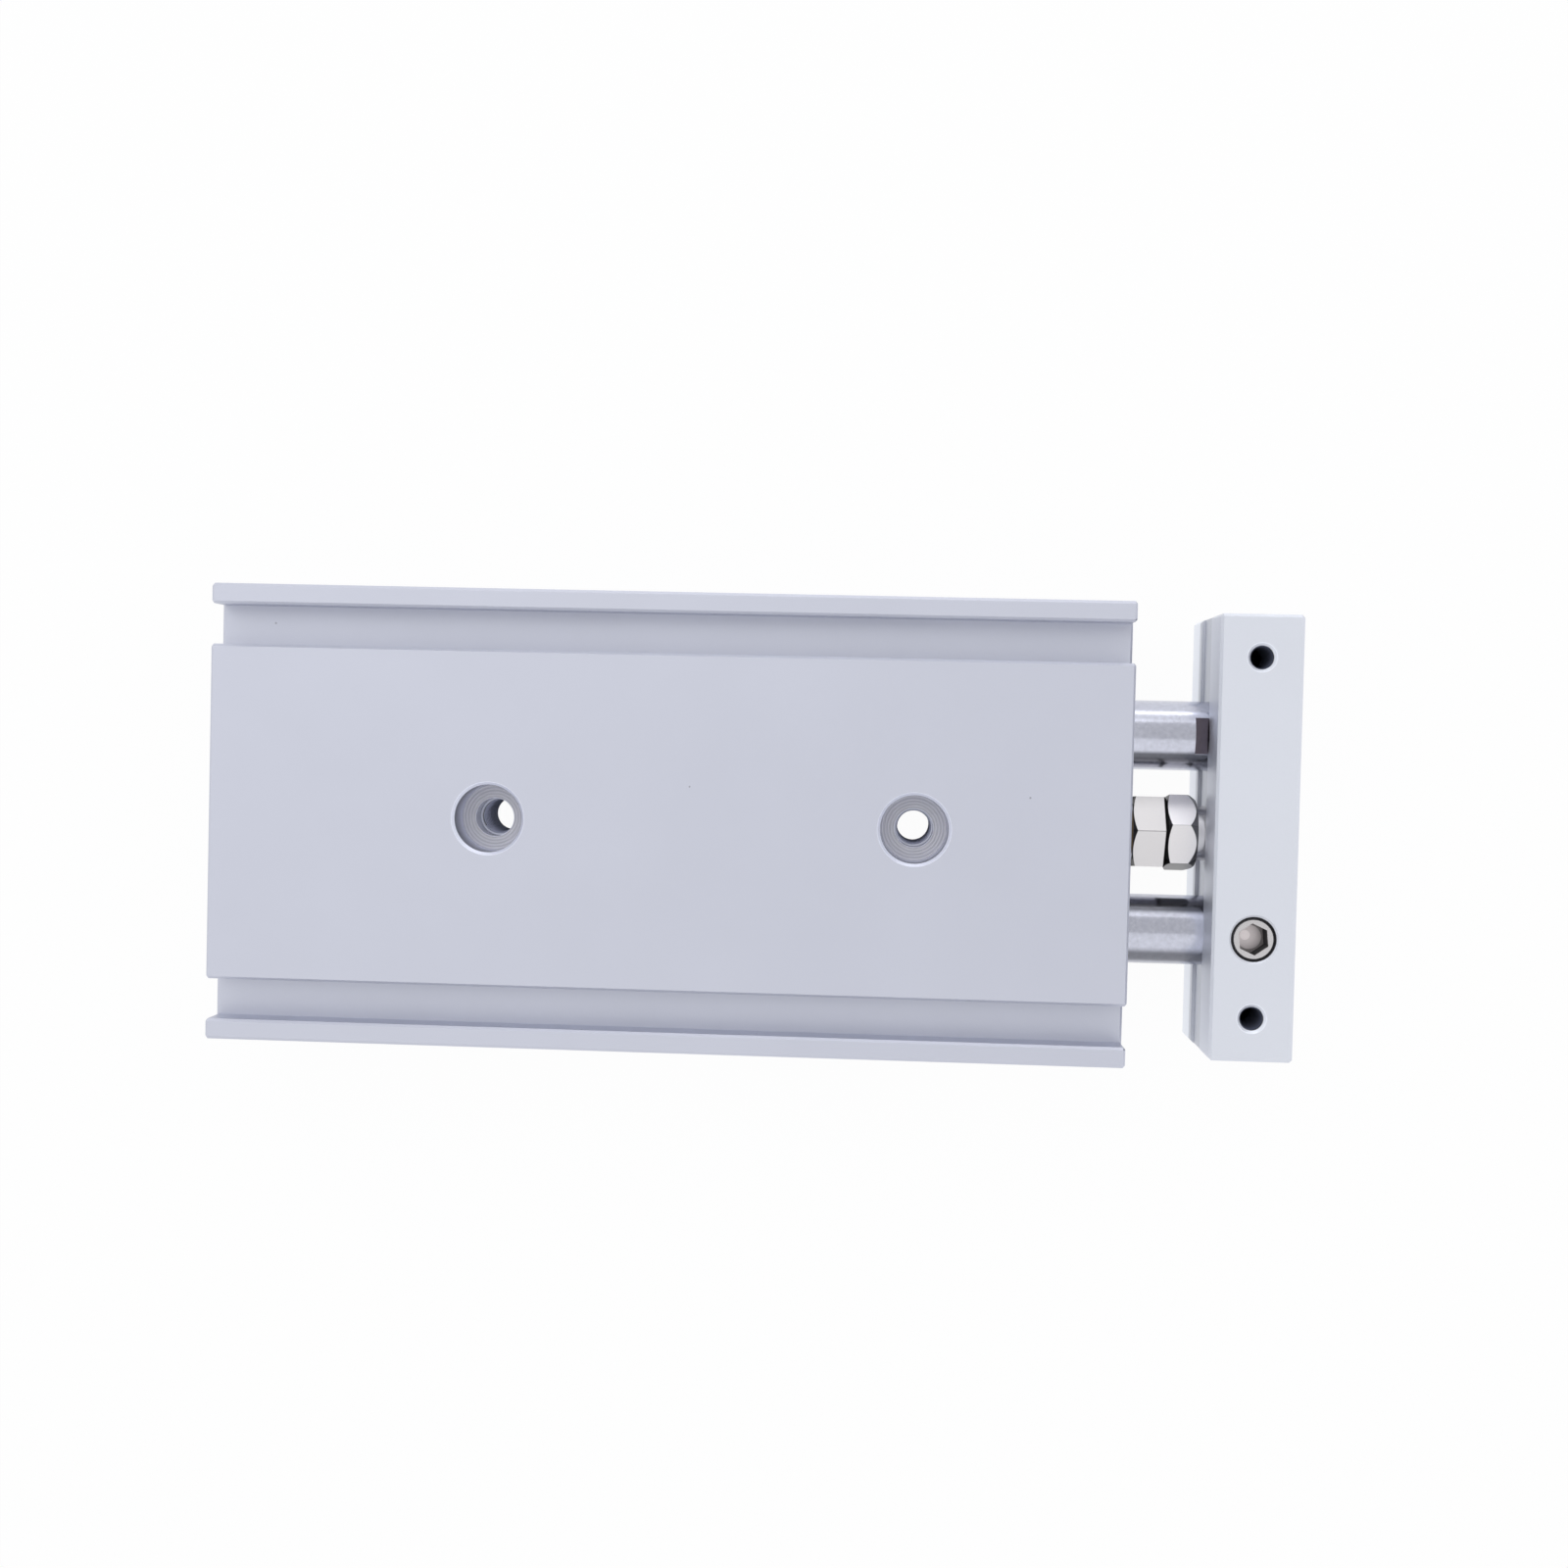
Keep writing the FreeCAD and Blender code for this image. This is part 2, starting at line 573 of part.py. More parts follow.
def make_snap_ring(label, side, along):
    """Internal snap ring: an open ring whose two ends carry lugs with plier holes."""
    across = across_of(side)
    start = f"{along} - {OVERCUT}"
    through = f"Dims.ring_thk + 2 * {OVERCUT}"
    radius = "Dims.ring_groove_dia / 2 - Dims.fit_gap"
    disc = cylinder(f"{label}_disc", radius, "Dims.ring_thk", along, across, AXIS_Z)
    hole = cylinder(f"{label}_hole", "Dims.ring_inner_dia / 2", through, start, across, AXIS_Z)
    mouth = doc.addObject("Part::Box", f"{label}_mouth")
    mouth.setExpression("Length", through)
    mouth.setExpression("Width", "Dims.ring_mouth")
    mouth.setExpression("Height", "Dims.ring_groove_dia")
    put(mouth, start, f"{across} - Dims.ring_mouth / 2", AXIS_Z)
    opening = combine("Part::MultiFuse", f"{label}_opening", [hole, mouth])
    band = combine("Part::Cut", f"{label}_band", (disc, opening))
    lugs, plier_holes = [], []
    for way, word in (("1", "left"), ("-1", "right")):
        reach = "(Dims.ring_mouth / 2 + Dims.lug_dia / 2)"
        lug_across = f"{across} + {way} * {reach}"
        lug_up = f"{AXIS_Z} + sqrt((Dims.lug_circle_dia / 2) ^ 2 - {reach} ^ 2)"
        lugs.append(
            cylinder(f"{label}_{word}", "Dims.lug_dia / 2", "Dims.ring_thk", along, lug_across, lug_up)
        )
        plier_holes.append(
            cylinder(f"{label}_{word}_hole", "Dims.lug_hole_dia / 2", through, start, lug_across, lug_up)
        )
    solid = combine("Part::MultiFuse", f"{label}_solid", [band] + lugs)
    holes = combine("Part::MultiFuse", f"{label}_holes", plier_holes)
    return keep(combine("Part::Cut", label, (solid, holes)), label)


def make_port_plugs():
    """Socket plugs that close the two ports on the side of bore a."""
    plugs = []
    places = {"front": f"{FRONT} - Dims.front_port_inset", "rear": f"{TAIL} + Dims.rear_port_inset"}
    for word, along in places.items():
        plug = doc.addObject("Part::Cylinder", f"plug_{word}_blank")
        plug.setExpression("Radius", "Dims.plug_dia / 2")
        plug.setExpression("Height", "Dims.plug_len")
        socket = doc.addObject("Part::Prism", f"plug_{word}_socket")
        socket.Polygon = 6
        socket.setExpression("Circumradius", "Dims.plug_hex / sqrt(3)")
        socket.setExpression("Height", f"Dims.plug_hex_deep + {OVERCUT}")
        for shape in (plug, socket):
            shape.Placement.Rotation = FreeCAD.Rotation(Vector(1, 0, 0), 90)
        recess = "Dims.port_bevel"
        put(plug, along, f"{HALF_WID} - {recess}", AXIS_Z)
        put(socket, along, f"{HALF_WID} - {recess} + {OVERCUT}", AXIS_Z)
        plugs.append(combine("Part::Cut", f"plug_{word}", (plug, socket)))
    group = doc.addObject("Part::Compound", "port_plugs")
    group.Links = plugs
    return keep(group, "port_plugs")


# --- pistons and rods ------------------------------------------------------------------------


def ring_groove(inset, width, depth):
    """Three sides of a groove in a piston, from the piston's rear to its front."""
    rear = f"Dims.piston_len - {inset} - {width}"
    front = f"Dims.piston_len - {inset}"
    floor = f"(Dims.bore_dia / 2 - {depth} - Dims.slip_gap)"
    return [(rear, PISTON_RADIUS), (rear, floor), (front, floor), (front, PISTON_RADIUS)]


def make_piston(side):
    """Piston with grooves for its seal, magnet and wear ring, and a blind hole for the rod."""
    hole = "(Dims.spigot_dia / 2 + Dims.slip_gap)"
    hole_floor = "Dims.piston_len - Dims.spigot_len"
    profile = [("0", "0"), ("0", PISTON_RADIUS)]
    profile += ring_groove("Dims.pseal_inset", "Dims.pseal_wid", "Dims.pseal_thk")
    profile += ring_groove("Dims.magnet_inset", "Dims.magnet_wid", "Dims.magnet_thk")
    profile += ring_groove("Dims.wear_inset", "Dims.wear_wid", "Dims.wear_thk")
    profile += [
        ("Dims.piston_len", PISTON_RADIUS),
        ("Dims.piston_len", hole),
        (hole_floor, hole),
        (hole_floor, "0"),
    ]
    return turned_part(f"piston_{side}", profile, PISTON_REAR, across_of(side))


def make_piston_ring(label, side, inset, width, depth, gap):
    """Ring that fills a piston groove up to a gap below the bore."""
    profile = hollow_profile(
        "Dims.slip_gap",
        f"{width} - Dims.slip_gap",
        f"Dims.bore_dia / 2 - {depth}",
        f"Dims.bore_dia / 2 - {gap}",
    )
    along = f"{PISTON_FRONT} - {inset} - {width}"
    return turned_part(f"{label}_{side}", profile, along, across_of(side))


def make_cushions(side):
    """Rubber cushion rings on both faces of a piston."""
    radius = "Dims.cushion_dia / 2"
    rear = hollow_profile("0", "Dims.cushion_thk", "Dims.puller_dia / 2", radius)
    front = hollow_profile("0", "Dims.cushion_thk", f"{ROD_RADIUS} + Dims.slip_gap", radius)
    across = across_of(side)
    turned_part(f"rear_cushion_{side}", rear, f"{PISTON_REAR} - Dims.cushion_thk", across)
    turned_part(f"front_cushion_{side}", front, PISTON_FRONT, across)


def rod_profile(plate_seat, end_hole):
    """Rod from its spigot to its plate end, with an optional blind hole in that end."""
    spigot = "Dims.spigot_dia / 2"
    shoulder = "Dims.spigot_len"
    end = f"({PLATE_FACE} + {plate_seat} - {PISTON_FRONT} + Dims.spigot_len)"
    profile = [
        ("0", "0"),
        ("0", f"{spigot} - Dims.rod_bevel"),
        ("Dims.rod_bevel", spigot),
        (shoulder, spigot),
        (shoulder, ROD_RADIUS),
        (f"{end} - Dims.rod_bevel", ROD_RADIUS),
        (end, f"{ROD_RADIUS} - Dims.rod_bevel"),
    ]
    if end_hole:
        radius = "Dims.cap_dia / 2 + Dims.thread_gap"
        floor = f"{end} - Dims.cap_grip - {OVERCUT}"
        return profile + [(end, radius), (floor, radius), (floor, "0")]
    return profile + [(end, "0")]


def make_rod_a():
    """Rod with a tapped end and two spanner flats against the plate."""
    label = "piston_rod_a"
    start = f"{PISTON_FRONT} - Dims.spigot_len"
    rod = turned_part(label, rod_profile("Dims.rod_a_seat", True), start, across_of("a"))
    flats_from = f"({PLATE_FACE} - Dims.flats_show - {PISTON_FRONT} + Dims.spigot_len)"
    flats_to = f"{flats_from} + Dims.flats_show + Dims.rod_a_seat + {OVERCUT}"
    flats = new_sketch(rod, "rod_flats", "XZ_Plane", ("0", "0", "Dims.rod_dia"))
    for way in ("1", "-1"):
        add_outline(
            flats,
            rectangle(
                flats_from, f"{way} * Dims.flats_wid / 2", flats_to, f"{way} * Dims.rod_dia"
            ),
        )
    pocket(rod, flats, "2 * Dims.rod_dia")
    return rod


def make_rod_b():
    """Plain rod whose end lies in the plate's second seat."""
    start = f"{PISTON_FRONT} - Dims.spigot_len"
    return turned_part("piston_rod_b", rod_profile("Dims.rod_b_seat", False), start, across_of("b"))


# --- plate and its screws --------------------------------------------------------------------


def plate_holes(body, name, places, diameter, start, depth, forward=True):
    """Holes in the plate, along X, from a plane at start."""
    sketch = new_sketch(body, name, "YZ_Plane", ("0", "0", start))
    for across, up in places:
        add_circle(sketch, across, up, diameter)
    return pocket(body, sketch, depth, forward)


def make_plate():
    """Plate that joins the two rods and carries the load."""
    body = new_body("end_plate")
    low = f"({AXIS_Z} - Dims.plate_hgt / 2)"
    high = f"({AXIS_Z} + Dims.plate_hgt / 2)"
    outer = f"({PLATE_FACE} + Dims.plate_thk)"
    half = "(Dims.plate_wid / 2)"
    blank = new_sketch(body, "plate_blank", "YZ_Plane", ("0", "0", PLATE_FACE))
    add_outline(blank, rectangle(f"-{half}", low, half, high))
    pad(body, blank, "Dims.plate_thk")
    along, upward = Vector(1, 0, 0), Vector(0, 0, 1)
    bevel(body, "Dims.plate_edge", lambda edge: True)

    channel = new_sketch(body, "plate_channel", "XZ_Plane", ("0", "0", half))
    add_outline(
        channel,
        rectangle(
            f"{PLATE_FACE} - {OVERCUT}",
            f"{AXIS_Z} - Dims.channel_wid / 2",
            CHANNEL_FLOOR,
            f"{AXIS_Z} + Dims.channel_wid / 2",
        ),
    )
    pocket(body, channel, "Dims.plate_wid")

    on_a, on_b, on_bolt = [[(across, AXIS_Z)] for across in (across_of("a"), across_of("b"), "0")]
    corners = [
        (f"{wide} * Dims.load_pitch_wid / 2", f"{AXIS_Z} + {tall} * Dims.load_pitch_hgt / 2")
        for wide in ("-1", "1")
        for tall in ("-1", "1")
    ]
    rod_seat = "Dims.rod_dia + 2 * Dims.slip_gap"
    bolt_hole = "Dims.bolt_dia + 2 * Dims.thread_gap"
    plate_holes(body, "rod_a_seat_cut", on_a, rod_seat, PLATE_FACE, "Dims.rod_a_seat")
    plate_holes(body, "rod_b_seat_cut", on_b, rod_seat, PLATE_FACE, "Dims.rod_b_seat")
    plate_holes(body, "cap_hole", on_a, "Dims.cap_hole_dia", PLATE_FACE, "Dims.plate_thk")
    plate_holes(body, "cap_seat", on_a, "Dims.cap_seat_dia", outer, "Dims.cap_seat_deep", False)
    plate_holes(body, "bolt_hole", on_bolt, bolt_hole, PLATE_FACE, "Dims.plate_thk")
    plate_holes(body, "load_holes", corners, "Dims.load_dia", outer, "Dims.load_deep", False)

    sketch = new_sketch(body, "edge_holes", "XY_Plane", ("0", "0", high))
    for way in ("1", "-1"):
        add_circle(sketch, PLATE_MID, f"{way} * Dims.edge_hole_pitch / 2", "Dims.edge_hole_dia")
    pocket(body, sketch, "Dims.plate_hgt")
    set_hole = "Dims.set_dia + 2 * Dims.thread_gap"
    sketch = new_sketch(body, "set_hole", "XY_Plane", ("0", "0", high))
    add_circle(sketch, PLATE_MID, across_of("b"), set_hole)
    pocket(body, sketch, "Dims.plate_hgt / 2")

    bevel(
        body,
        "Dims.edge_hole_bevel",
        lambda edge: is_circle(edge, "Dims.edge_hole_dia", upward, high)
        or is_circle(edge, "Dims.edge_hole_dia", upward, low)
        or is_circle(edge, set_hole, upward, high)
        or is_circle(edge, "Dims.load_dia", along, outer)
        or is_circle(edge, "Dims.cap_seat_dia", along, outer),
    )
    return keep(body, "end_plate")


def make_cap_screw():
    """Socket head cap screw that holds rod a to the plate."""
    shank = f"(Dims.plate_thk - Dims.cap_seat_deep - Dims.rod_a_seat + Dims.cap_grip)"
    end = f"({shank} + Dims.cap_head_thk)"
    body = new_body("rod_a_screw")
    sketch = new_sketch(body, "cap_profile", "XY_Plane")
    edge = "Dims.rod_bevel"
    add_outline(
        sketch,
        [
            ("0", "0"),
            ("0", f"Dims.cap_dia / 2 - {edge}"),
            (edge, "Dims.cap_dia / 2"),
            (shank, "Dims.cap_dia / 2"),
            (shank, "Dims.cap_head_dia / 2"),
            (f"{end} - {edge}", "Dims.cap_head_dia / 2"),
            (end, f"Dims.cap_head_dia / 2 - {edge}"),
            (end, "0"),
        ],
    )
    turn(body, sketch)
    socket = new_sketch(body, "cap_socket", "YZ_Plane", ("0", "0", end))
    add_hexagon(socket, "Dims.cap_hex")
    pocket(body, socket, "Dims.cap_hex_deep")
    start = f"{PLATE_FACE} + Dims.rod_a_seat - Dims.cap_grip"
    put(body, start, across_of("a"), AXIS_Z)
    return keep(body, "rod_a_screw")


def make_set_screw():
    """Socket set screw, driven down on rod b through the plate's top edge."""
    body = new_body("rod_b_set_screw")
    top = f"({AXIS_Z} + Dims.plate_hgt / 2 - Dims.set_drop)"
    length = f"({top} - {AXIS_Z} - {ROD_RADIUS} - Dims.slip_gap)"
    blank = new_sketch(body, "set_blank", "XY_Plane")
    add_circle(blank, "0", "0", "Dims.set_dia")
    pad(body, blank, length)
    upward = Vector(0, 0, 1)
    bevel(body, "Dims.set_bevel", lambda edge: is_circle(edge, "Dims.set_dia", upward, length))
    socket = new_sketch(body, "set_socket", "XY_Plane", ("0", "0", length))
    add_hexagon(socket, "Dims.set_hex", "Dims.set_turn")
    pocket(body, socket, "Dims.set_hex_deep")
    put(body, PLATE_MID, across_of("b"), f"{top} - {length}")
    return keep(body, "rod_b_set_screw")


def bevel_hexagon(body, name, ends):
    """Turn down a hexagon's corners at ends, each a place, the way inwards and a slope in degrees."""
    start = f"(Dims.bolt_hex * {TURNED_SHARE})"
    reach = f"(Dims.bolt_hex / sqrt(3) + {OVERCUT} - {start})"
    cuts = new_sketch(body, name, "XY_Plane")
    for place, way, slope in ends:
        run = f"({reach} * tan({slope} * 1 deg))"
        add_outline(
            cuts,
            [
                (place, start),
                (place, f"{start} + {reach}"),
                (f"{place} + {way} * {run}", f"{start} + {reach}"),
            ],
        )
    turn(body, cuts, "PartDesign::Groove")


def make_stop_bolt():
    """Hexagon bolt at the middle of the plate, with a seat for the rubber pad in its head."""
    body = new_body("stop_bolt")
    head = new_sketch(body, "bolt_head", "YZ_Plane")
    add_hexagon(head, "Dims.bolt_hex", "Dims.bolt_turn")
    pad(body, head, "Dims.bolt_head_thk")
    bevel_hexagon(body, "bolt_head_corners", [("0", "1", "Dims.corner_slope")])
    end = f"({PLATE_FACE} + Dims.plate_thk - Dims.bolt_end - {BOLT_FACE})"
    shank = new_sketch(body, "bolt_shank", "YZ_Plane", ("0", "0", "Dims.bolt_head_thk"))
    add_circle(shank, "0", "0", "Dims.bolt_dia")
    pad(body, shank, f"{end} - Dims.bolt_head_thk")
    seat = new_sketch(body, "pad_seat", "YZ_Plane")
    add_circle(seat, "0", "0", "Dims.pad_dia")
    pocket(body, seat, "Dims.pad_sunk", True)
    put(body, BOLT_FACE, "0", AXIS_Z)
    return keep(body, "stop_bolt")


def make_stop_pad():
    """Rubber pad in the bolt head, the first thing to meet the housing."""
    edge = "(Dims.pad_proud / 3)"
    radius = "(Dims.pad_dia / 2 - Dims.slip_gap)"
    length = "(Dims.pad_proud + Dims.pad_sunk)"
    profile = [
        ("0", "0"),
        ("0", f"{radius} - {edge}"),
        (edge, radius),
        (length, radius),
        (length, "0"),
    ]
    return turned_part("stop_pad", profile, f"{BOLT_FACE} - Dims.pad_proud", "0")


def make_lock_nut():
    """Nut that locks the stroke-end bolt against the plate."""
    body = new_body("lock_nut")
    blank = new_sketch(body, "nut_blank", "YZ_Plane")
    add_hexagon(blank, "Dims.bolt_hex", "Dims.nut_turn")
    pad(body, blank, "Dims.nut_thk")
    nut_ends = [("0", "1", "Dims.corner_slope"), ("Dims.nut_thk", "-1", "Dims.nut_slope")]
    bevel_hexagon(body, "nut_corners", nut_ends)
    hole = new_sketch(body, "nut_hole", "YZ_Plane")
    add_circle(hole, "0", "0", "Dims.bolt_dia + 2 * Dims.thread_gap")
    pocket(body, hole, "Dims.nut_thk", True)
    put(body, NUT_FACE, "0", AXIS_Z)
    return keep(body, "lock_nut")


def make_washer():
    """Washer between the lock nut and the floor of the plate's channel."""
    inner = "Dims.bolt_dia / 2 + Dims.thread_gap"
    profile = hollow_profile("0", "Dims.washer_thk", inner, "Dims.washer_dia / 2")
    return turned_part("nut_washer", profile, WASHER_FACE, "0")


make_housing()
for bore_side in SIDES:
    make_rod_cover(bore_side)
    make_rod_seal(bore_side)
    make_seal_retainer(bore_side)
    make_head_cover(bore_side)
    cover_ring = f"{FRONT} - {COVER_START} - Dims.oring_inset - Dims.oring_groove_wid / 2"
    make_o_ring(f"rod_cover_o_ring_{bore_side}", bore_side, cover_ring)
    head_ring = f"{TAIL} + {STACK_START} + Dims.head_oring_inset + Dims.oring_groove_wid / 2"
    make_o_ring(f"head_cover_o_ring_{bore_side}", bore_side, head_ring)
    make_snap_ring(f"front_snap_ring_{bore_side}", bore_side, f"{FRONT} - {STACK_START}")
    make_snap_ring(f"rear_snap_ring_{bore_side}", bore_side, f"{TAIL} + Dims.ring_inset")
    make_piston(bore_side)
    for ring, prefix, gap in (
        ("wear_ring", "wear", "Dims.fit_gap"),
        ("magnet", "magnet", "Dims.magnet_gap"),
        ("piston_seal", "pseal", "Dims.fit_gap"),
    ):
        inset, width, depth = (f"Dims.{prefix}_{size}" for size in ("inset", "wid", "thk"))
        make_piston_ring(ring, bore_side, inset, width, depth, gap)
    make_cushions(bore_side)
make_port_plugs()
make_rod_a()
make_rod_b()
make_plate()
make_cap_screw()
make_set_screw()
make_stop_bolt()
make_stop_pad()
make_lock_nut()
make_washer()
doc.recompute()

for item in doc.Objects:
    if "Invalid" in item.State or "Error" in item.State:
        raise RuntimeError(f"{item.Name} is {item.State}")
for part in sub_parts:
    if part.Shape.isNull() or not part.Shape.isValid():
        raise RuntimeError(f"{part.Label} has no valid shape")

os.makedirs("parts", exist_ok=True)
for part in sub_parts:
    part.Shape.exportStep(os.path.join("parts", f"{part.Label}.step"))
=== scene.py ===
import json
import logging
import math
from dataclasses import dataclass
from enum import Enum

import bpy
from mathutils import Matrix, Vector

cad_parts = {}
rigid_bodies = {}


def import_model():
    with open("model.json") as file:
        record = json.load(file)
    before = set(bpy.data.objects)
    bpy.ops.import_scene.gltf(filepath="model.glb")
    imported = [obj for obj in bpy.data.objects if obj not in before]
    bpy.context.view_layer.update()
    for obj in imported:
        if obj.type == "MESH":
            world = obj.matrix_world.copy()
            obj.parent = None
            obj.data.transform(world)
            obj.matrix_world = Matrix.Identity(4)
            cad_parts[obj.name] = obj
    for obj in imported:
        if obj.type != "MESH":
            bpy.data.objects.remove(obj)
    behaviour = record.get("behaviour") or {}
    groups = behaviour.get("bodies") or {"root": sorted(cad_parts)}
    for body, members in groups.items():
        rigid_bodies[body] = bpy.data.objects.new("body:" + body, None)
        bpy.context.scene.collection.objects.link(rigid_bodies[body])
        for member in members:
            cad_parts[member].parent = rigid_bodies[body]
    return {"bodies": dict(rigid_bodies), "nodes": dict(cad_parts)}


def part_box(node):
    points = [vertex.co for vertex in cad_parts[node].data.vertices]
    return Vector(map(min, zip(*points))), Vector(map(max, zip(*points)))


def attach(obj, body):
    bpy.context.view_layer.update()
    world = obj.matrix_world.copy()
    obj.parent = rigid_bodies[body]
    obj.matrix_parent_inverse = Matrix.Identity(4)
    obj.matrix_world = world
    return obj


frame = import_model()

# Looks of a guided pneumatic cylinder with two rods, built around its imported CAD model.
# Everything is in metres; X is the stroke, Y goes across the two bores and Z is up.

MM = 0.001
AXIS_HEIGHT = 12.5 * MM
BORE_OFFSET = 14 * MM
SIDES = (-1, 1)
FULL_WHITE = (1.0, 1.0, 1.0, 1.0)

# Places of a Mix node's colour sockets, whose names repeat for every kind of data.
MIX_COLOURS = (6, 7)
MIX_RESULT = 2

Colour = tuple[float, float, float]
Triple = tuple[float, float, float]
Edges = tuple[float, float, float, float]
Pair = tuple[float, float]

log = logging.getLogger("guided_cylinder")


class Body(Enum):
    """The two rigid bodies of the cylinder."""

    CYLINDER = "cylinder_body"
    RODS = "rod_assembly"


class Facing(Enum):
    """Which way a hole's mouth looks, as the turn that brings +Z there."""

    UP = (0.0, 0.0, 0.0)
    DOWN = (math.pi, 0.0, 0.0)
    FRONT = (0.0, math.pi / 2, 0.0)
    REAR = (0.0, -math.pi / 2, 0.0)
    RIGHT = (math.pi / 2, 0.0, 0.0)


# --- node graphs -----------------------------------------------------------------------------


@dataclass
class Graph:
    """Short hand for adding and joining nodes in one tree.

    Args:
        tree: The node tree that is being built.
    """

    tree: bpy.types.NodeTree

    def add(
        self, kind: str, inputs: dict[str | int, object] | None = None, **settings: object
    ) -> bpy.types.Node:
        """Add a node, set its properties, and fill or join its inputs.

        Args:
            kind: The node's Blender type name.
            inputs: Values or output sockets by input name or number.
            **settings: Properties of the node.

        Returns:
            The new node.
        """
        node = self.tree.nodes.new(kind)
        for name, value in settings.items():
            setattr(node, name, value)
        for key, value in (inputs or {}).items():
            self.feed(node.inputs[key], value)
        return node

    def feed(self, socket: bpy.types.NodeSocket, value: object) -> None:
        """Join an output to the socket, or set the socket's own value.

        Args:
            socket: The input socket.
            value: An output socket, or the value.
        """
        if isinstance(value, bpy.types.NodeSocket):
            self.tree.links.new(value, socket)
        else:
            socket.default_value = value

    def math(self, operation: str, *values: object) -> bpy.types.NodeSocket:
        """Result of a Math node.

        Args:
            operation: The node's operation, such as ADD.
            *values: Numbers or output sockets.

        Returns:
            The output socket.
        """
        node = self.add("ShaderNodeMath", dict(enumerate(values)), operation=operation)
        return node.outputs[0]

    def within(self, value: object, low: object, high: object) -> bpy.types.NodeSocket:
        """1 where the value lies between two limits, 0 elsewhere.

        Args:
            value: Number or output socket.
            low: The lower limit.
            high: The upper limit.

        Returns:
            The output socket.
        """
        above, below = self.math("GREATER_THAN", value, low), self.math("LESS_THAN", value, high)
        return self.math("MULTIPLY", above, below)

    def ramp(
        self,
        value: object,
        start: float,
        end: float,
        low: float = 0.0,
        high: float = 1.0,
        smooth: bool = False,
    ) -> bpy.types.NodeSocket:
        """Number that goes from low to high while the value goes from start to end.

        Args:
            value: Number or output socket.
            start: Value where the change begins.
            end: Value where it ends.
            low: Result up to the start.
            high: Result from the end.
            smooth: Whether the change eases in and out.

        Returns:
            The output socket.
        """
        limits = {"Value": value, 1: start, 2: end, 3: low, 4: high}
        kind = "SMOOTHSTEP" if smooth else "LINEAR"
        return self.add("ShaderNodeMapRange", limits, interpolation_type=kind).outputs[0]

    def split(self, vector: object) -> bpy.types.bpy_prop_collection:
        """The three coordinates of a vector."""
        return self.add("ShaderNodeSeparateXYZ", {0: vector}).outputs

    def join(self, *values: object) -> bpy.types.NodeSocket:
        """Vector made of three coordinates."""
        return self.add("ShaderNodeCombineXYZ", dict(enumerate(values))).outputs[0]

    def shade(self, tone: object, mask: object, factor: float) -> bpy.types.NodeSocket:
        """Multiply a tone by a factor where the mask is 1.

        Args:
            tone: Number or output socket.
            mask: 1 where the factor counts, 0 elsewhere.
            factor: The factor.

        Returns:
            The output socket.
        """
        return self.math("MULTIPLY", tone, self.math("MULTIPLY_ADD", mask, factor - 1.0, 1.0))

    def radius(self, first: object, second: object) -> bpy.types.NodeSocket:
        """Distance from an axis.

        Args:
            first: One coordinate across the axis.
            second: The other one.

        Returns:
            The output socket.
        """
        square = self.math("MULTIPLY", first, first)
        return self.math("SQRT", self.math("MULTIPLY_ADD", second, second, square))

    def group(self, tree: bpy.types.NodeTree, inputs: dict[str | int, object]) -> bpy.types.Node:
        """Add a shader group with its own input values.

        Args:
            tree: The group.
            inputs: Values or output sockets by input name.

        Returns:
            The group's node.
        """
        node = self.tree.nodes.new("ShaderNodeGroup")
        node.node_tree = tree
        for key, value in inputs.items():
            self.feed(node.inputs[key], value)
        return node


def empty_material(name: str) -> tuple[bpy.types.Material, Graph]:
    """Start a material without nodes.

    Args:
        name: The material's name.

    Returns:
        The material and its graph.
    """
    paint = bpy.data.materials.new(name)
    paint.use_nodes = True
    paint.node_tree.nodes.clear()
    return paint, Graph(paint.node_tree)


def new_group(
    name: str, inputs: dict[str, float], outputs: tuple[str, ...]
) -> tuple[Graph, bpy.types.Node, bpy.types.Node]:
    """Start a shader node group.

    Args:
        name: The group's name.
        inputs: Number inputs with their default values. A vector, Position, comes before them.
        outputs: Names of the outputs, which are all numbers.

    Returns:
        The graph, its group input node and its group output node.
    """
    tree = bpy.data.node_groups.new(name, "ShaderNodeTree")
    tree.interface.new_socket("Position", in_out="INPUT", socket_type="NodeSocketVector")
    for key, value in inputs.items():
        socket = tree.interface.new_socket(key, in_out="INPUT", socket_type="NodeSocketFloat")
        socket.default_value = value
    for key in outputs:
        tree.interface.new_socket(key, in_out="OUTPUT", socket_type="NodeSocketFloat")
    graph = Graph(tree)
    return graph, graph.add("NodeGroupInput"), graph.add("NodeGroupOutput")


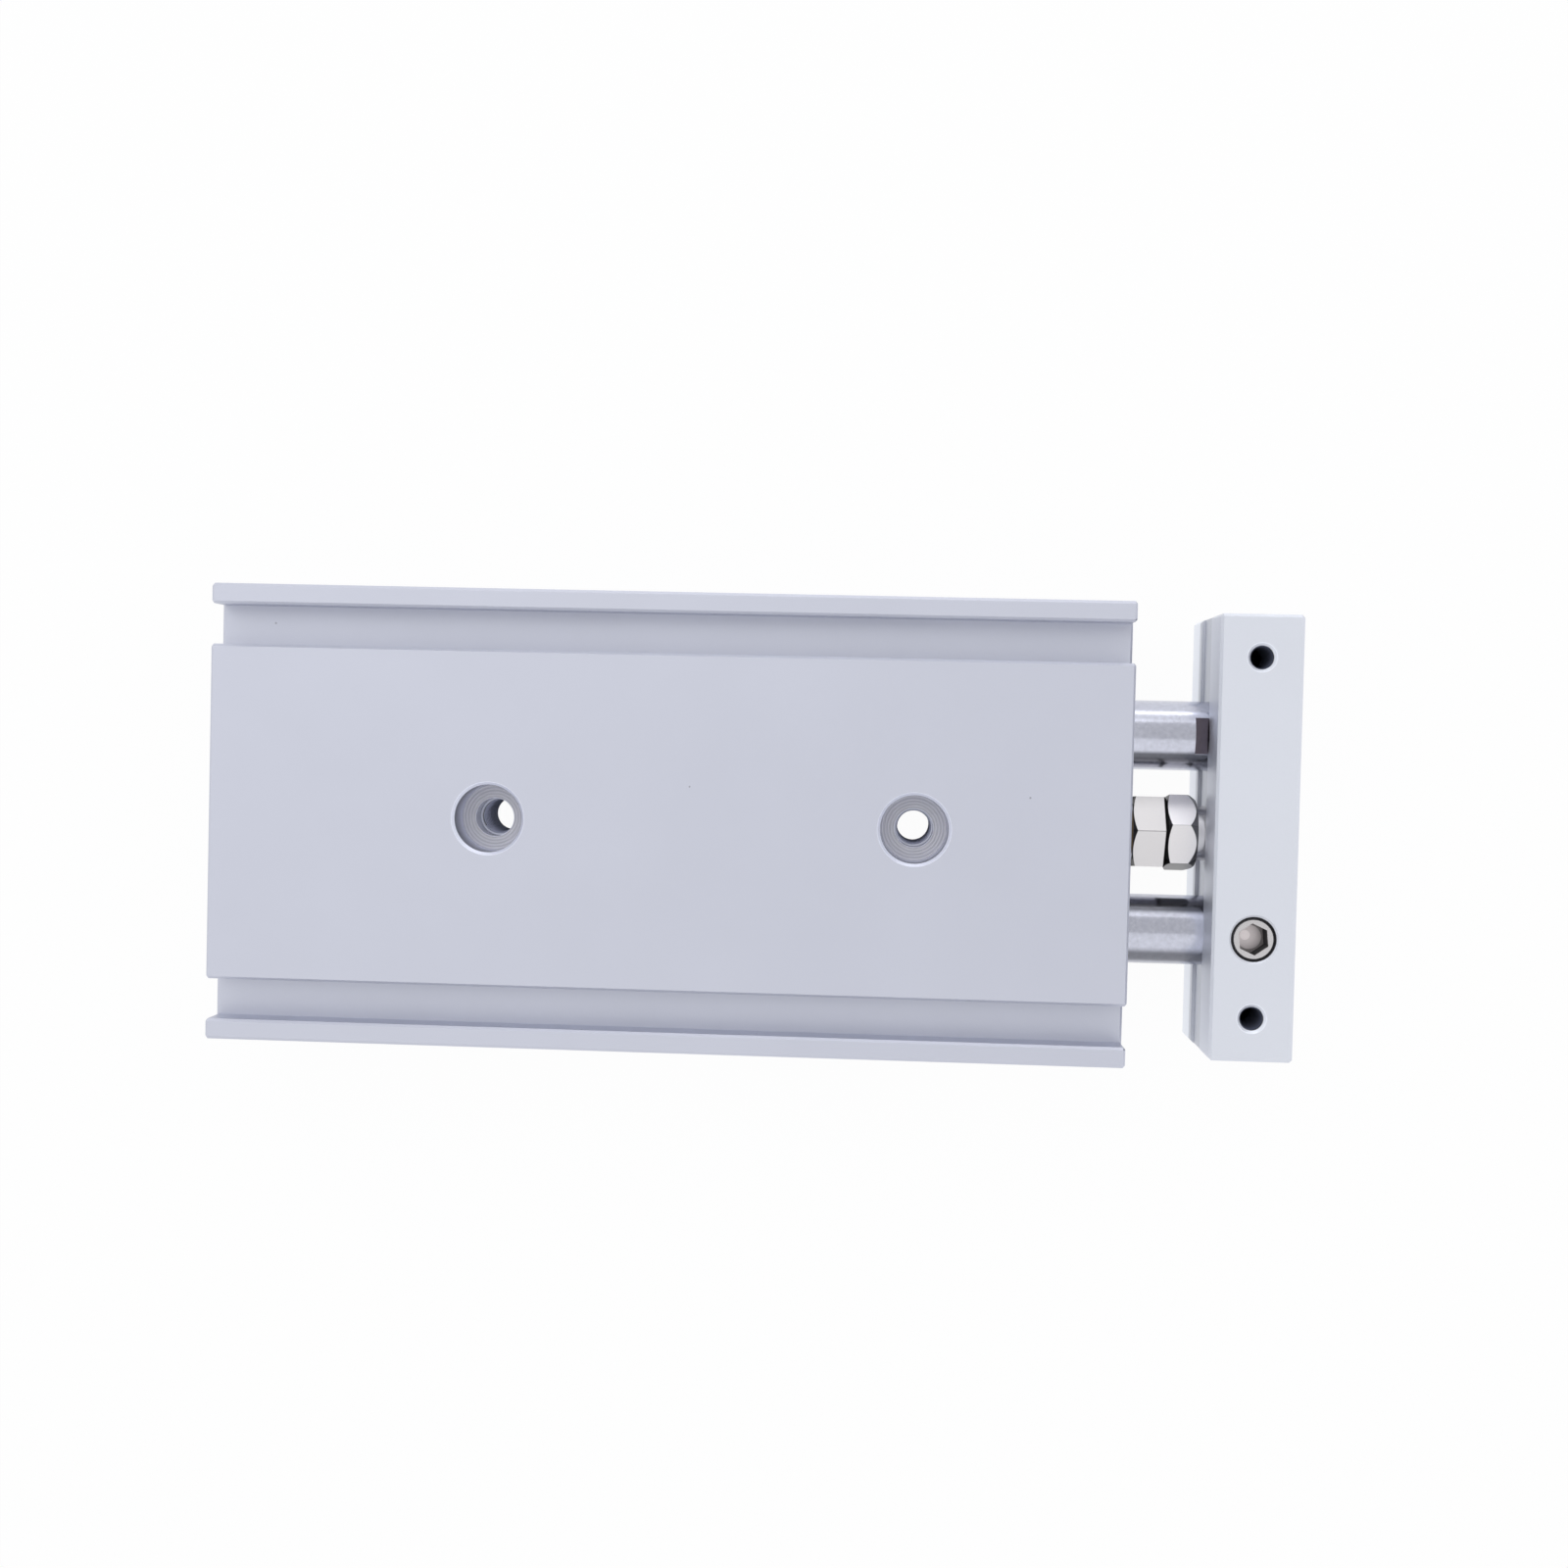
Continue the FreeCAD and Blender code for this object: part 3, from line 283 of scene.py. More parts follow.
class Effects:
    """Surface effects that several finishes share, each a node group built once.

    STREAK_SQUEEZE is how much the streaks' noise is squeezed along X, which draws it out.
    """

    STREAK_SQUEEZE = 0.02

    def __init__(self) -> None:
        """Build every group."""
        self.grain = self._grain()
        self.streaks = self._streaks()
        self.rings = self._rings()
        self.specks = self._specks()
        self.zone = self._zone()

    @staticmethod
    def _grain() -> bpy.types.NodeTree:
        """Fine bead-blasted or moulded grain with a slow change of tone."""
        graph, entry, result = new_group(
            "fine_grain", {"Grain": 9000, "Patch": 60, "Tone": 0.04}, ("Height", "Tone")
        )
        given = entry.outputs
        fine = graph.add(
            "ShaderNodeTexNoise",
            {"Vector": given["Position"], "Scale": given["Grain"], "Detail": 3.0, "Roughness": 0.6},
        ).outputs[0]
        patch = graph.add(
            "ShaderNodeTexNoise", {"Vector": given["Position"], "Scale": given["Patch"], "Detail": 2.0}
        ).outputs[0]
        both = graph.math("ADD", graph.math("SUBTRACT", fine, 0.5), graph.math("SUBTRACT", patch, 0.5))
        graph.feed(result.inputs["Height"], fine)
        graph.feed(result.inputs["Tone"], graph.math("MULTIPLY_ADD", both, given["Tone"], 1.0))
        return graph.tree

    @staticmethod
    def _streaks() -> bpy.types.NodeTree:
        """Fine lines that run along the position's X, as drawing or grinding leaves them."""
        graph, entry, result = new_group("fine_streaks", {"Lines": 6000, "Tone": 0.05}, ("Height", "Tone"))
        apart = graph.split(entry.outputs["Position"])
        squeezed = graph.join(graph.math("MULTIPLY", apart[0], Effects.STREAK_SQUEEZE), apart[1], apart[2])
        lines = graph.add(
            "ShaderNodeTexNoise", {"Vector": squeezed, "Scale": entry.outputs["Lines"], "Detail": 2.0}
        )
        centred = graph.math("SUBTRACT", lines.outputs[0], 0.5)
        graph.feed(result.inputs["Height"], lines.outputs[0])
        graph.feed(result.inputs["Tone"], graph.math("MULTIPLY_ADD", centred, entry.outputs["Tone"], 1.0))
        return graph.tree

    @staticmethod
    def _rings() -> bpy.types.NodeTree:
        """Turning marks round the position's Z axis, kept inside a radius."""
        graph, entry, result = new_group(
            "turning_rings", {"Spacing": 0.25 * MM, "Reach": 5 * MM}, ("Height",)
        )
        apart = graph.split(entry.outputs["Position"])
        radius = graph.radius(apart[0], apart[1])
        turns = graph.math("DIVIDE", graph.math("MULTIPLY", radius, math.tau), entry.outputs["Spacing"])
        inside = graph.math("LESS_THAN", radius, entry.outputs["Reach"])
        graph.feed(result.inputs["Height"], graph.math("MULTIPLY", graph.math("SINE", turns), inside))
        return graph.tree

    @staticmethod
    def _specks() -> bpy.types.NodeTree:
        """Sparse small specks, as a mask from 0 to 1."""
        graph, entry, result = new_group("small_specks", {"Density": 120, "Size": 0.02}, ("Mask",))
        cells = graph.add(
            "ShaderNodeTexVoronoi", {"Vector": entry.outputs["Position"], "Scale": entry.outputs["Density"]}
        )
        near = graph.math("LESS_THAN", cells.outputs["Distance"], entry.outputs["Size"])
        graph.feed(result.inputs["Mask"], near)
        return graph.tree

    @staticmethod
    def _zone() -> bpy.types.NodeTree:
        """Mask of what lies between two radii and two levels about the position's Z axis."""
        graph, entry, result = new_group(
            "round_zone", {"Inner": 0.0, "Outer": 5 * MM, "Low": 0.0, "High": 10 * MM}, ("Mask",)
        )
        apart = graph.split(entry.outputs["Position"])
        limits = entry.outputs
        ring = graph.within(graph.radius(apart[0], apart[1]), limits["Inner"], limits["Outer"])
        slab = graph.within(apart[2], limits["Low"], limits["High"])
        graph.feed(result.inputs["Mask"], graph.math("MULTIPLY", ring, slab))
        return graph.tree


# --- finishes --------------------------------------------------------------------------------


@dataclass(frozen=True)
class Zone:
    """Part of a surface round an axis that is lighter or darker than the rest.

    Args:
        centre: Point on the axis.
        inner: Smallest radius.
        outer: Largest radius.
        low: Lower limit along the axis, from the centre.
        high: Upper limit along the axis, from the centre.
        shade: Factor on the base colour.
        along: The axis, as an index.
        mirrored: Axis across which the zone repeats, as an index, or none.
        rougher: What it adds to the roughness.
        dull: Whether it mirrors nothing, so that painted shade on the walls of a deep hole or a slot stays
            dark.
        bare: Base colour there instead of the finish's own.
    """

    centre: Triple
    inner: float
    outer: float
    low: float
    high: float
    shade: float
    along: int = 2
    mirrored: int | None = None
    rougher: float = 0.0
    dull: bool = False
    bare: Colour | None = None


@dataclass(frozen=True)
class Finish:
    """A plain finish with a little grain.

    Args:
        name: The material's name, which is the record's slot wherever nodes take it from there.
        colour: Base colour, linear.
        metallic: 1 for bare or plated metal, 0 for the rest.
        roughness: Roughness of the surface.
        grain: Scale of the grain, per metre.
        relief: Depth of the grain, in metres.
        tone: How much the grain changes the colour.
        zones: Parts that are lighter or darker.
        shine: Specular level of what isn't metal.
    """

    name: str
    colour: Colour
    metallic: float = 0.0
    roughness: float = 0.5
    grain: float = 6000.0
    relief: float = 0.000002
    tone: float = 0.04
    zones: tuple[Zone, ...] = ()
    shine: float = 0.5

    def material(self, effects: Effects) -> bpy.types.Material:
        """Build the material.

        Args:
            effects: The shared node groups.

        Returns:
            The finished material.
        """
        made, graph = empty_material(self.name)
        shader = graph.add(
            "ShaderNodeBsdfPrincipled",
            {"Base Color": (*self.colour, 1.0), "Metallic": self.metallic, "Roughness": self.roughness},
        )
        target = graph.add("ShaderNodeOutputMaterial", {"Surface": shader.outputs[0]})
        target.is_active_output = True
        self.dress(graph, shader, effects)
        return made

    def dress(self, graph: Graph, shader: bpy.types.Node, effects: Effects) -> None:
        """Add what varies over the surface.

        Args:
            graph: The material's graph.
            shader: Its Principled BSDF.
            effects: The shared node groups.
        """
        _, tone, height = self.grained(graph, effects)
        self.tint(graph, shader, effects, tone)
        self.raise_surface(graph, shader, height, self.relief)

    def grained(
        self, graph: Graph, effects: Effects
    ) -> tuple[bpy.types.NodeSocket, bpy.types.NodeSocket, bpy.types.NodeSocket]:
        """Start a finish with its grain.

        Args:
            graph: The material's graph.
            effects: The shared node groups.

        Returns:
            The Object coordinates, the grain's tone and its height.
        """
        place = graph.add("ShaderNodeTexCoord").outputs["Object"]
        grain = graph.group(effects.grain, {"Position": place, "Grain": self.grain, "Tone": self.tone})
        return place, grain.outputs["Tone"], grain.outputs["Height"]

    def tint(
        self, graph: Graph, shader: bpy.types.Node, effects: Effects, tone: bpy.types.NodeSocket
    ) -> None:
        """Multiply the base colour by a tone that changes over the surface, and apply the zones.

        Args:
            graph: The material's graph.
            shader: Its Principled BSDF.
            effects: The shared node groups.
            tone: The tone, 1 where the colour stays.
        """
        place = graph.add("ShaderNodeTexCoord").outputs["Object"]
        colour: object = self.colour
        rough: object = self.roughness
        metal: object = self.metallic
        shine: object = self.shine
        for zone in self.zones:
            mask = graph.group(
                effects.zone,
                {
                    "Position": self.zone_place(graph, place, zone),
                    "Inner": zone.inner,
                    "Outer": zone.outer,
                    "Low": zone.low,
                    "High": zone.high,
                },
            ).outputs[0]
            tone = graph.shade(tone, mask, zone.shade)
            if zone.rougher:
                rough = graph.math("MULTIPLY_ADD", mask, zone.rougher, rough)
            # Dull zones carry painted shade, so they lose their metal and their specular light.
            if zone.dull:
                rest = graph.math("SUBTRACT", 1.0, mask)
                metal, shine = graph.math("MULTIPLY", metal, rest), graph.math("MULTIPLY", shine, rest)
            if zone.bare:
                mixed = graph.add("ShaderNodeMix", {"Factor": mask}, data_type="RGBA")
                for key, value in zip(MIX_COLOURS, (colour, zone.bare)):
                    shown = value if isinstance(value, bpy.types.NodeSocket) else (*value, 1.0)
                    graph.feed(mixed.inputs[key], shown)
                colour = mixed.outputs[MIX_RESULT]
        graph.feed(shader.inputs["Roughness"], rough)
        graph.feed(shader.inputs["Metallic"], metal)
        graph.feed(shader.inputs["Specular IOR Level"], shine)
        scaled = graph.add("ShaderNodeVectorMath", {0: colour, "Scale": tone}, operation="SCALE")
        graph.feed(shader.inputs["Base Color"], scaled.outputs[0])

    @staticmethod
    def zone_place(graph: Graph, place: bpy.types.NodeSocket, zone: Zone) -> bpy.types.NodeSocket:
        """Position about a zone's axis, with that axis as Z.

        Args:
            graph: The material's graph.
            place: Object coordinates.
            zone: The zone.

        Returns:
            The output socket.
        """
        apart = graph.split(place)
        moved = []
        for axis in range(3):
            value = graph.math("ABSOLUTE", apart[axis]) if axis == zone.mirrored else apart[axis]
            moved.append(graph.math("SUBTRACT", value, zone.centre[axis]))
        others = [moved[axis] for axis in range(3) if axis != zone.along]
        return graph.join(*others, moved[zone.along])

    @staticmethod
    def raise_surface(
        graph: Graph, shader: bpy.types.Node, height: bpy.types.NodeSocket, depth: float
    ) -> None:
        """Turn a height into the surface's normal.

        Args:
            graph: The material's graph.
            shader: Its Principled BSDF.
            height: The height, about 1 from its lowest to its highest.
            depth: What a height of 1 stands for, in metres.
        """
        bump = graph.add("ShaderNodeBump", {"Height": height, "Distance": depth, "Strength": 1.0})
        graph.feed(shader.inputs["Normal"], bump.outputs[0])


@dataclass(frozen=True)
class BlastedAluminium(Finish):
    """Clear anodised, bead-blasted aluminium, with turned seats in its mounting holes and painted light and
    shade on their walls.

    Args:
        hole_offset: Distance of the mounting holes from the origin, along X.
        seat_radius: Radius up to which the seats are turned.
        ring_depth: Depth of the turning marks, as a multiple of the grain's.
        ring_spacing: Distance from one mark to the next.
        ring_tone: How much the marks change the colour.
        wall_radii: Radii between which the counterbores' walls lie.
        wall_levels: Distances from the axis height between which they lie.
        wall_fade: Distances from the axis height between which their shade changes.
        wall_shades: Factors on their colour, as painted light at the seat and painted shade at the mouth.
        speck_shade: How dark the sparse specks are.
    """

    hole_offset: float = 30 * MM
    seat_radius: float = 4.7 * MM
    ring_depth: float = 3.0
    ring_spacing: float = 0.44 * MM
    ring_tone: float = 0.07
    wall_radii: Pair = (4.72 * MM, 4.78 * MM)
    wall_levels: Pair = (7.15 * MM, 12.3 * MM)
    wall_fade: Pair = (7.15 * MM, 12.0 * MM)
    wall_shades: Pair = (1.35, 0.6)
    speck_shade: float = 0.35

    def dress(self, graph: Graph, shader: bpy.types.Node, effects: Effects) -> None:
        """Add grain, specks and the turned seats.

        Args:
            graph: The material's graph.
            shader: Its Principled BSDF.
            effects: The shared node groups.
        """
        place, tone, height = self.grained(graph, effects)
        specks = graph.group(effects.specks, {"Position": place})
        shade = graph.math("MULTIPLY_ADD", specks.outputs["Mask"], -self.speck_shade, 1.0)
        apart = graph.split(place)
        folded = graph.math("SUBTRACT", graph.math("ABSOLUTE", apart[0]), self.hole_offset)
        level = graph.math("ABSOLUTE", graph.math("SUBTRACT", apart[2], AXIS_HEIGHT))
        local = graph.join(folded, apart[1], level)
        rings = graph.group(
            effects.rings, {"Position": local, "Spacing": self.ring_spacing, "Reach": self.seat_radius}
        ).outputs["Height"]
        shade = graph.math("MULTIPLY", shade, graph.math("MULTIPLY_ADD", rings, self.ring_tone, 1.0))
        # Painted light and shade on the counterbores' walls: lighter by the seat, darker towards the mouth.
        inner, outer = self.wall_radii
        low, high = self.wall_levels
        wall = graph.group(
            effects.zone, {"Position": local, "Inner": inner, "Outer": outer, "Low": low, "High": high}
        )
        change = graph.math("SUBTRACT", graph.ramp(level, *self.wall_fade, *self.wall_shades), 1.0)
        shade = graph.math("MULTIPLY", shade, graph.math("MULTIPLY_ADD", wall.outputs["Mask"], change, 1.0))
        self.tint(graph, shader, effects, graph.math("MULTIPLY", tone, shade))
        turned = graph.math("MULTIPLY", rings, self.ring_depth)
        self.raise_surface(graph, shader, graph.math("ADD", height, turned), self.relief)


@dataclass(frozen=True)
class PlateAluminium(Finish):
    """Satin aluminium of the plate, with three bands of painted light and shade along its inner face.

    Args:
        inner_face: Place along X up to which a surface counts as the inner face.
        levels: Heights where the bands begin and end, from the foot up.
        shades: Factors on the base colour in each band: painted light at the foot, painted shade in the
            middle and a little painted light at the top.
    """

    inner_face: float = 72.1 * MM
    levels: Edges = (0.0, 6.7 * MM, 16.6 * MM, 24.0 * MM)
    shades: Triple = (1.25, 0.88, 1.05)

    def dress(self, graph: Graph, shader: bpy.types.Node, effects: Effects) -> None:
        """Add grain and the bands of painted light and shade.

        Args:
            graph: The material's graph.
            shader: Its Principled BSDF.
            effects: The shared node groups.
        """
        place, tone, height = self.grained(graph, effects)
        apart = graph.split(place)
        inner = graph.math("LESS_THAN", apart[0], self.inner_face)
        for low, high, shade in zip(self.levels, self.levels[1:], self.shades):
            mask = graph.math("MULTIPLY", graph.within(apart[2], low, high), inner)
            tone = graph.shade(tone, mask, shade)
        self.tint(graph, shader, effects, tone)
        self.raise_surface(graph, shader, height, self.relief)


@dataclass(frozen=True)
class TurnedMetal(Finish):
    """Metal turned about one of the two bore axes.

    Args:
        spacing: Distance from one turning mark to the next.
        reach: Radius up to which the marks go.
    """

    spacing: float = 0.18 * MM
    reach: float = 20 * MM

    def dress(self, graph: Graph, shader: bpy.types.Node, effects: Effects) -> None:
        """Add turning marks on the faces and a light grain.

        Args:
            graph: The material's graph.
            shader: Its Principled BSDF.
            effects: The shared node groups.
        """
        place, tone, grain = self.grained(graph, effects)
        apart = graph.split(place)
        across = graph.math("SUBTRACT", graph.math("ABSOLUTE", apart[1]), BORE_OFFSET)
        local = graph.join(across, graph.math("SUBTRACT", apart[2], AXIS_HEIGHT), apart[0])
        rings = graph.group(
            effects.rings, {"Position": local, "Spacing": self.spacing, "Reach": self.reach}
        )
        self.tint(graph, shader, effects, tone)
        self.raise_surface(graph, shader, graph.math("ADD", grain, rings.outputs["Height"]), self.relief)


@dataclass(frozen=True)
class Flank:
    """Band of painted dark reflection along a rod, beside its outline.

    Args:
        edges: Where the band starts to rise, is full, starts to fall and ends. 0 faces the view.
        rest: What is left of it after its end.
        depth: How much of the colour it takes away where it is full.
    """

    edges: Edges
    rest: float
    depth: float


@dataclass(frozen=True)
class GroundBar(Finish):
    """Ground and hard-chromed bar, slightly wavy, with fine marks round its axis.

    Args:
        wave: Scale of the waves, per metre.
        mottle: Scale of the mottled tone, per metre.
        mottle_tone: How much it changes the colour.
        line_share: Depth of the grinding lines, as a share of the waves'.
        between: Painted dark reflection where the two rods face each other.
        beyond: Painted dark reflection on the outer side of rod b.
    """

    wave: float = 240.0
    mottle: float = 1500.0
    mottle_tone: float = 0.36
    line_share: float = 0.02
    between: Flank = Flank((0.1, 0.19, 0.26, 0.5), 0.15, 0.76)
    beyond: Flank = Flank((0.14, 0.32, 0.5, 0.75), 0.4, 0.68)

    def flanks(self, graph: Graph, place: bpy.types.NodeSocket) -> bpy.types.NodeSocket:
        """Soft bands of painted dark reflection, set by how far the surface turns away from the view.

        Args:
            graph: The material's graph.
            place: Object coordinates.

        Returns:
            Factor on the base colour.
        """
        facing = graph.add("ShaderNodeLayerWeight", {"Blend": 0.5}).outputs["Facing"]
        across = graph.split(place)[1]
        inward = graph.math("LESS_THAN", graph.math("ABSOLUTE", across), BORE_OFFSET)
        outward = graph.math("LESS_THAN", across, -BORE_OFFSET)
        tone: object = 1.0
        for where, flank in ((inward, self.between), (outward, self.beyond)):
            start, full, fall, end = flank.edges
            rise = graph.ramp(facing, start, full, smooth=True)
            drop = graph.ramp(facing, fall, end, 1.0, flank.rest, smooth=True)
            dark = graph.math("MULTIPLY", graph.math("MULTIPLY", rise, drop), where)
            tone = graph.math("MULTIPLY", tone, graph.math("MULTIPLY_ADD", dark, -flank.depth, 1.0))
        return tone

    def dress(self, graph: Graph, shader: bpy.types.Node, effects: Effects) -> None:
        """Add slow waves, a mottled tone, fine grinding lines and flanks of painted dark reflection.

        Args:
            graph: The material's graph.
            shader: Its Principled BSDF.
            effects: The shared node groups.
        """
        place = graph.add("ShaderNodeTexCoord").outputs["Object"]
        waves = graph.group(effects.grain, {"Position": place, "Grain": self.wave, "Tone": self.tone})
        spots = graph.group(
            effects.grain, {"Position": place, "Grain": self.mottle, "Tone": self.mottle_tone}
        )
        apart = graph.split(place)
        swapped = graph.join(apart[1], apart[0], 0.0)
        lines = graph.group(effects.streaks, {"Position": swapped, "Tone": self.tone})
        tone = graph.math("MULTIPLY", spots.outputs["Tone"], lines.outputs["Tone"])
        self.tint(graph, shader, effects, graph.math("MULTIPLY", tone, self.flanks(graph, place)))
        fine = graph.math("MULTIPLY_ADD", lines.outputs["Height"], self.line_share, waves.outputs["Height"])
        self.raise_surface(graph, shader, fine, self.relief)


@dataclass(frozen=True)
class Corner:
    """Turned corners at one end of a hexagon on the bolt's axis.

    Args:
        end: Place of the end face, along X.
        way: 1 where the hexagon goes on towards +X, -1 where it goes the other way.
        slope: Slope of the cone from the end face, in degrees.
    """

    end: float
    way: float
    slope: float


@dataclass(frozen=True)
class Facet:
    """Strip along a hexagon on the bolt's axis, as wide as a side or as narrow as a corner.

    Args:
        span: Where the hexagon is, along X.
        low: Angle of the strip's first edge, from up towards +Y, in degrees.
        high: Angle of its second edge.
        shade: Factor on the base colour: above 1 a painted light, below 1 a painted shade.
    """

    span: Pair
    low: float
    high: float
    shade: float


@dataclass(frozen=True)
class NickelSteel(Finish):
    """Nickel-plated steel of the bolt, nut and set screw, with painted dark reflection on turned corners.

    Args:
        corners: The turned corners.
        corner_radius: Radius of the end face, where their cone starts.
        corner_shade: Factor on the base colour there, a painted dark reflection.
        corner_margin: How far inside the cone the dark part starts.
        corner_reach: Distances from the end face between which it lies.
        facets: Strips of the head and the nut with painted light and shade.
    """

    corners: tuple[Corner, ...] = ()
    corner_radius: float = 4.85 * MM
    corner_shade: float = 0.3
    corner_margin: float = 0.05 * MM
    corner_reach: Pair = (-0.01 * MM, 1.5 * MM)
    facets: tuple[Facet, ...] = ()

    def dress(self, graph: Graph, shader: bpy.types.Node, effects: Effects) -> None:
        """Add grain, the strips and the corners.

        Args:
            graph: The material's graph.
            shader: Its Principled BSDF.
            effects: The shared node groups.
        """
        place, tone, height = self.grained(graph, effects)
        apart = graph.split(place)
        up = graph.math("SUBTRACT", apart[2], AXIS_HEIGHT)
        radius = graph.radius(apart[1], up)
        turn = graph.math("ARCTAN2", apart[1], up)
        # Painted light and shade on strips of the hexagons.
        for facet in self.facets:
            strip = graph.within(turn, math.radians(facet.low), math.radians(facet.high))
            mask = graph.math("MULTIPLY", strip, graph.within(apart[0], *facet.span))
            tone = graph.shade(tone, mask, facet.shade)
        # Painted dark reflection on the turned corners.
        for corner in self.corners:
            inward = graph.math("MULTIPLY", graph.math("SUBTRACT", apart[0], corner.end), corner.way)
            widening = 1 / math.tan(math.radians(corner.slope))
            cone = graph.math("MULTIPLY_ADD", inward, widening, self.corner_radius - self.corner_margin)
            past = graph.math("GREATER_THAN", radius, cone)
            mask = graph.math("MULTIPLY", past, graph.within(inward, *self.corner_reach))
            tone = graph.shade(tone, mask, self.corner_shade)
        self.tint(graph, shader, effects, tone)
        self.raise_surface(graph, shader, height, self.relief)


class Finishes:
    """Every finish of the cylinder.

    HOLE to ROD_A are places that zones lie round. OWN gives the finish of each node that
    doesn't take the one named as its slot. The thread crests have finishes of their own.
    """

    HOLE = (30 * MM, 0.0, AXIS_HEIGHT)
    EDGE_HOLE = (77.25 * MM, 25 * MM, AXIS_HEIGHT)
    SET_SCREW = (77.25 * MM, -BORE_OFFSET, AXIS_HEIGHT)
    HIGHLIGHT_SPOT = (76.7 * MM, -13.75 * MM, AXIS_HEIGHT)
    BOLT = (0.0, 0.0, AXIS_HEIGHT)
    ROD_A = (0.0, BORE_OFFSET, AXIS_HEIGHT)
    SEAT_METAL = (0.71, 0.71, 0.755)
    SEATS = Zone(
        HOLE, 2.8 * MM, 4.72 * MM, -7.3 * MM, 7.3 * MM, 1.0, mirrored=0, rougher=0.25, bare=SEAT_METAL
    )
    # Painted highlight: the chamfers round the counterbores' mouths are drawn lighter.
    SEAT_RIM_HIGHLIGHT = Zone(HOLE, 4.78 * MM, 5.2 * MM, -13 * MM, 13 * MM, 1.35, mirrored=0)
    DRILLED = Zone(
        HOLE, 2.6 * MM, 2.8 * MM, 3.9 * MM, 7.2 * MM, 1.0, mirrored=0, rougher=0.2, bare=(0.84, 0.85, 0.93)
    )
    # Painted shade: the threaded part of the mounting holes is drawn darker, for the shade deep inside
    # them.
    TAPPED = Zone(HOLE, 0.0, 2.55 * MM, -13 * MM, 3.6 * MM, 0.7, mirrored=0)
    # Painted shade: the plate's M4 holes are drawn nearly black and dull, for the shade inside them.
    EDGE_HOLE_SHADE = Zone(EDGE_HOLE, 0.0, 1.7 * MM, -11.6 * MM, 11.6 * MM, 0.1, mirrored=1, dull=True)
    # Painted highlight: the chamfers round the plate's M4 holes are drawn lighter.
    EDGE_RIM_HIGHLIGHT = Zone(EDGE_HOLE, 1.7 * MM, 2.1 * MM, -13 * MM, 13 * MM, 1.2, mirrored=1)
    # Painted shade: the wall and chamfer of the set screw's hole are drawn nearly black and dull, for the
    # shade in the gap round the screw.
    SET_WALL_SHADE = Zone(SET_SCREW, 0.0, 3.14 * MM, -2 * MM, 13 * MM, 0.08, dull=True)
    # Painted shade: the walls of the set screw's hex socket are drawn dark and dull.
    SOCKET = Zone(SET_SCREW, 1.9 * MM, 2.3 * MM, 8.15 * MM, 11.45 * MM, 0.14, dull=True)
    SOCKET_FLOOR = Zone(
        SET_SCREW, 0.0, 2.4 * MM, 7.9 * MM, 8.15 * MM, 1.0, rougher=0.15, bare=(0.78, 0.72, 0.73)
    )
    # Painted shade: the socket's floor is drawn darker next to its walls.
    SOCKET_RIM_SHADE = Zone(SET_SCREW, 1.7 * MM, 2.4 * MM, 7.9 * MM, 8.15 * MM, 0.5)
    # Painted highlight: a light round spot on the socket's flat floor, in place of a drill point's cone.
    SOCKET_HIGHLIGHT = Zone(HIGHLIGHT_SPOT, 0.0, 0.7 * MM, 7.9 * MM, 8.15 * MM, 1.26)
    # Painted shade: the bolt's shank is drawn dark and dull where it shows in the gaps.
    BOLT_GAP_SHADE = Zone(BOLT, 0.0, 3.4 * MM, 60 * MM, 90 * MM, 0.12, along=0, dull=True)
    # Painted shadow: a dark, dull line across the edges where the bolt's head meets the nut.
    HEX_GAP_SHADE = Zone(BOLT, 0.0, 6 * MM, 65.7 * MM, 66.2 * MM, 0.12, along=0, dull=True)
    FLATS = Zone(
        ROD_A, 4.0 * MM, 4.97 * MM, 69.5 * MM, 72.5 * MM, 0.22, along=0, bare=(0.56, 0.48, 0.58)
    )
    # Painted dark reflection on the turned corners of the bolt's head and of the nut.
    CORNERS = (Corner(61.2 * MM, 1, 30), Corner(66.1 * MM, 1, 30), Corner(70.4 * MM, -1, 52))
    HEAD_SPAN = (61.2 * MM, 65.8 * MM)
    NUT_SPAN = (66.1 * MM, 70.4 * MM)
    # Painted light: the whole nut is drawn lighter than the bolt's head.
    NUT = Zone(BOLT, 4.4 * MM, 6 * MM, *NUT_SPAN, 1.14, along=0, rougher=0.12)
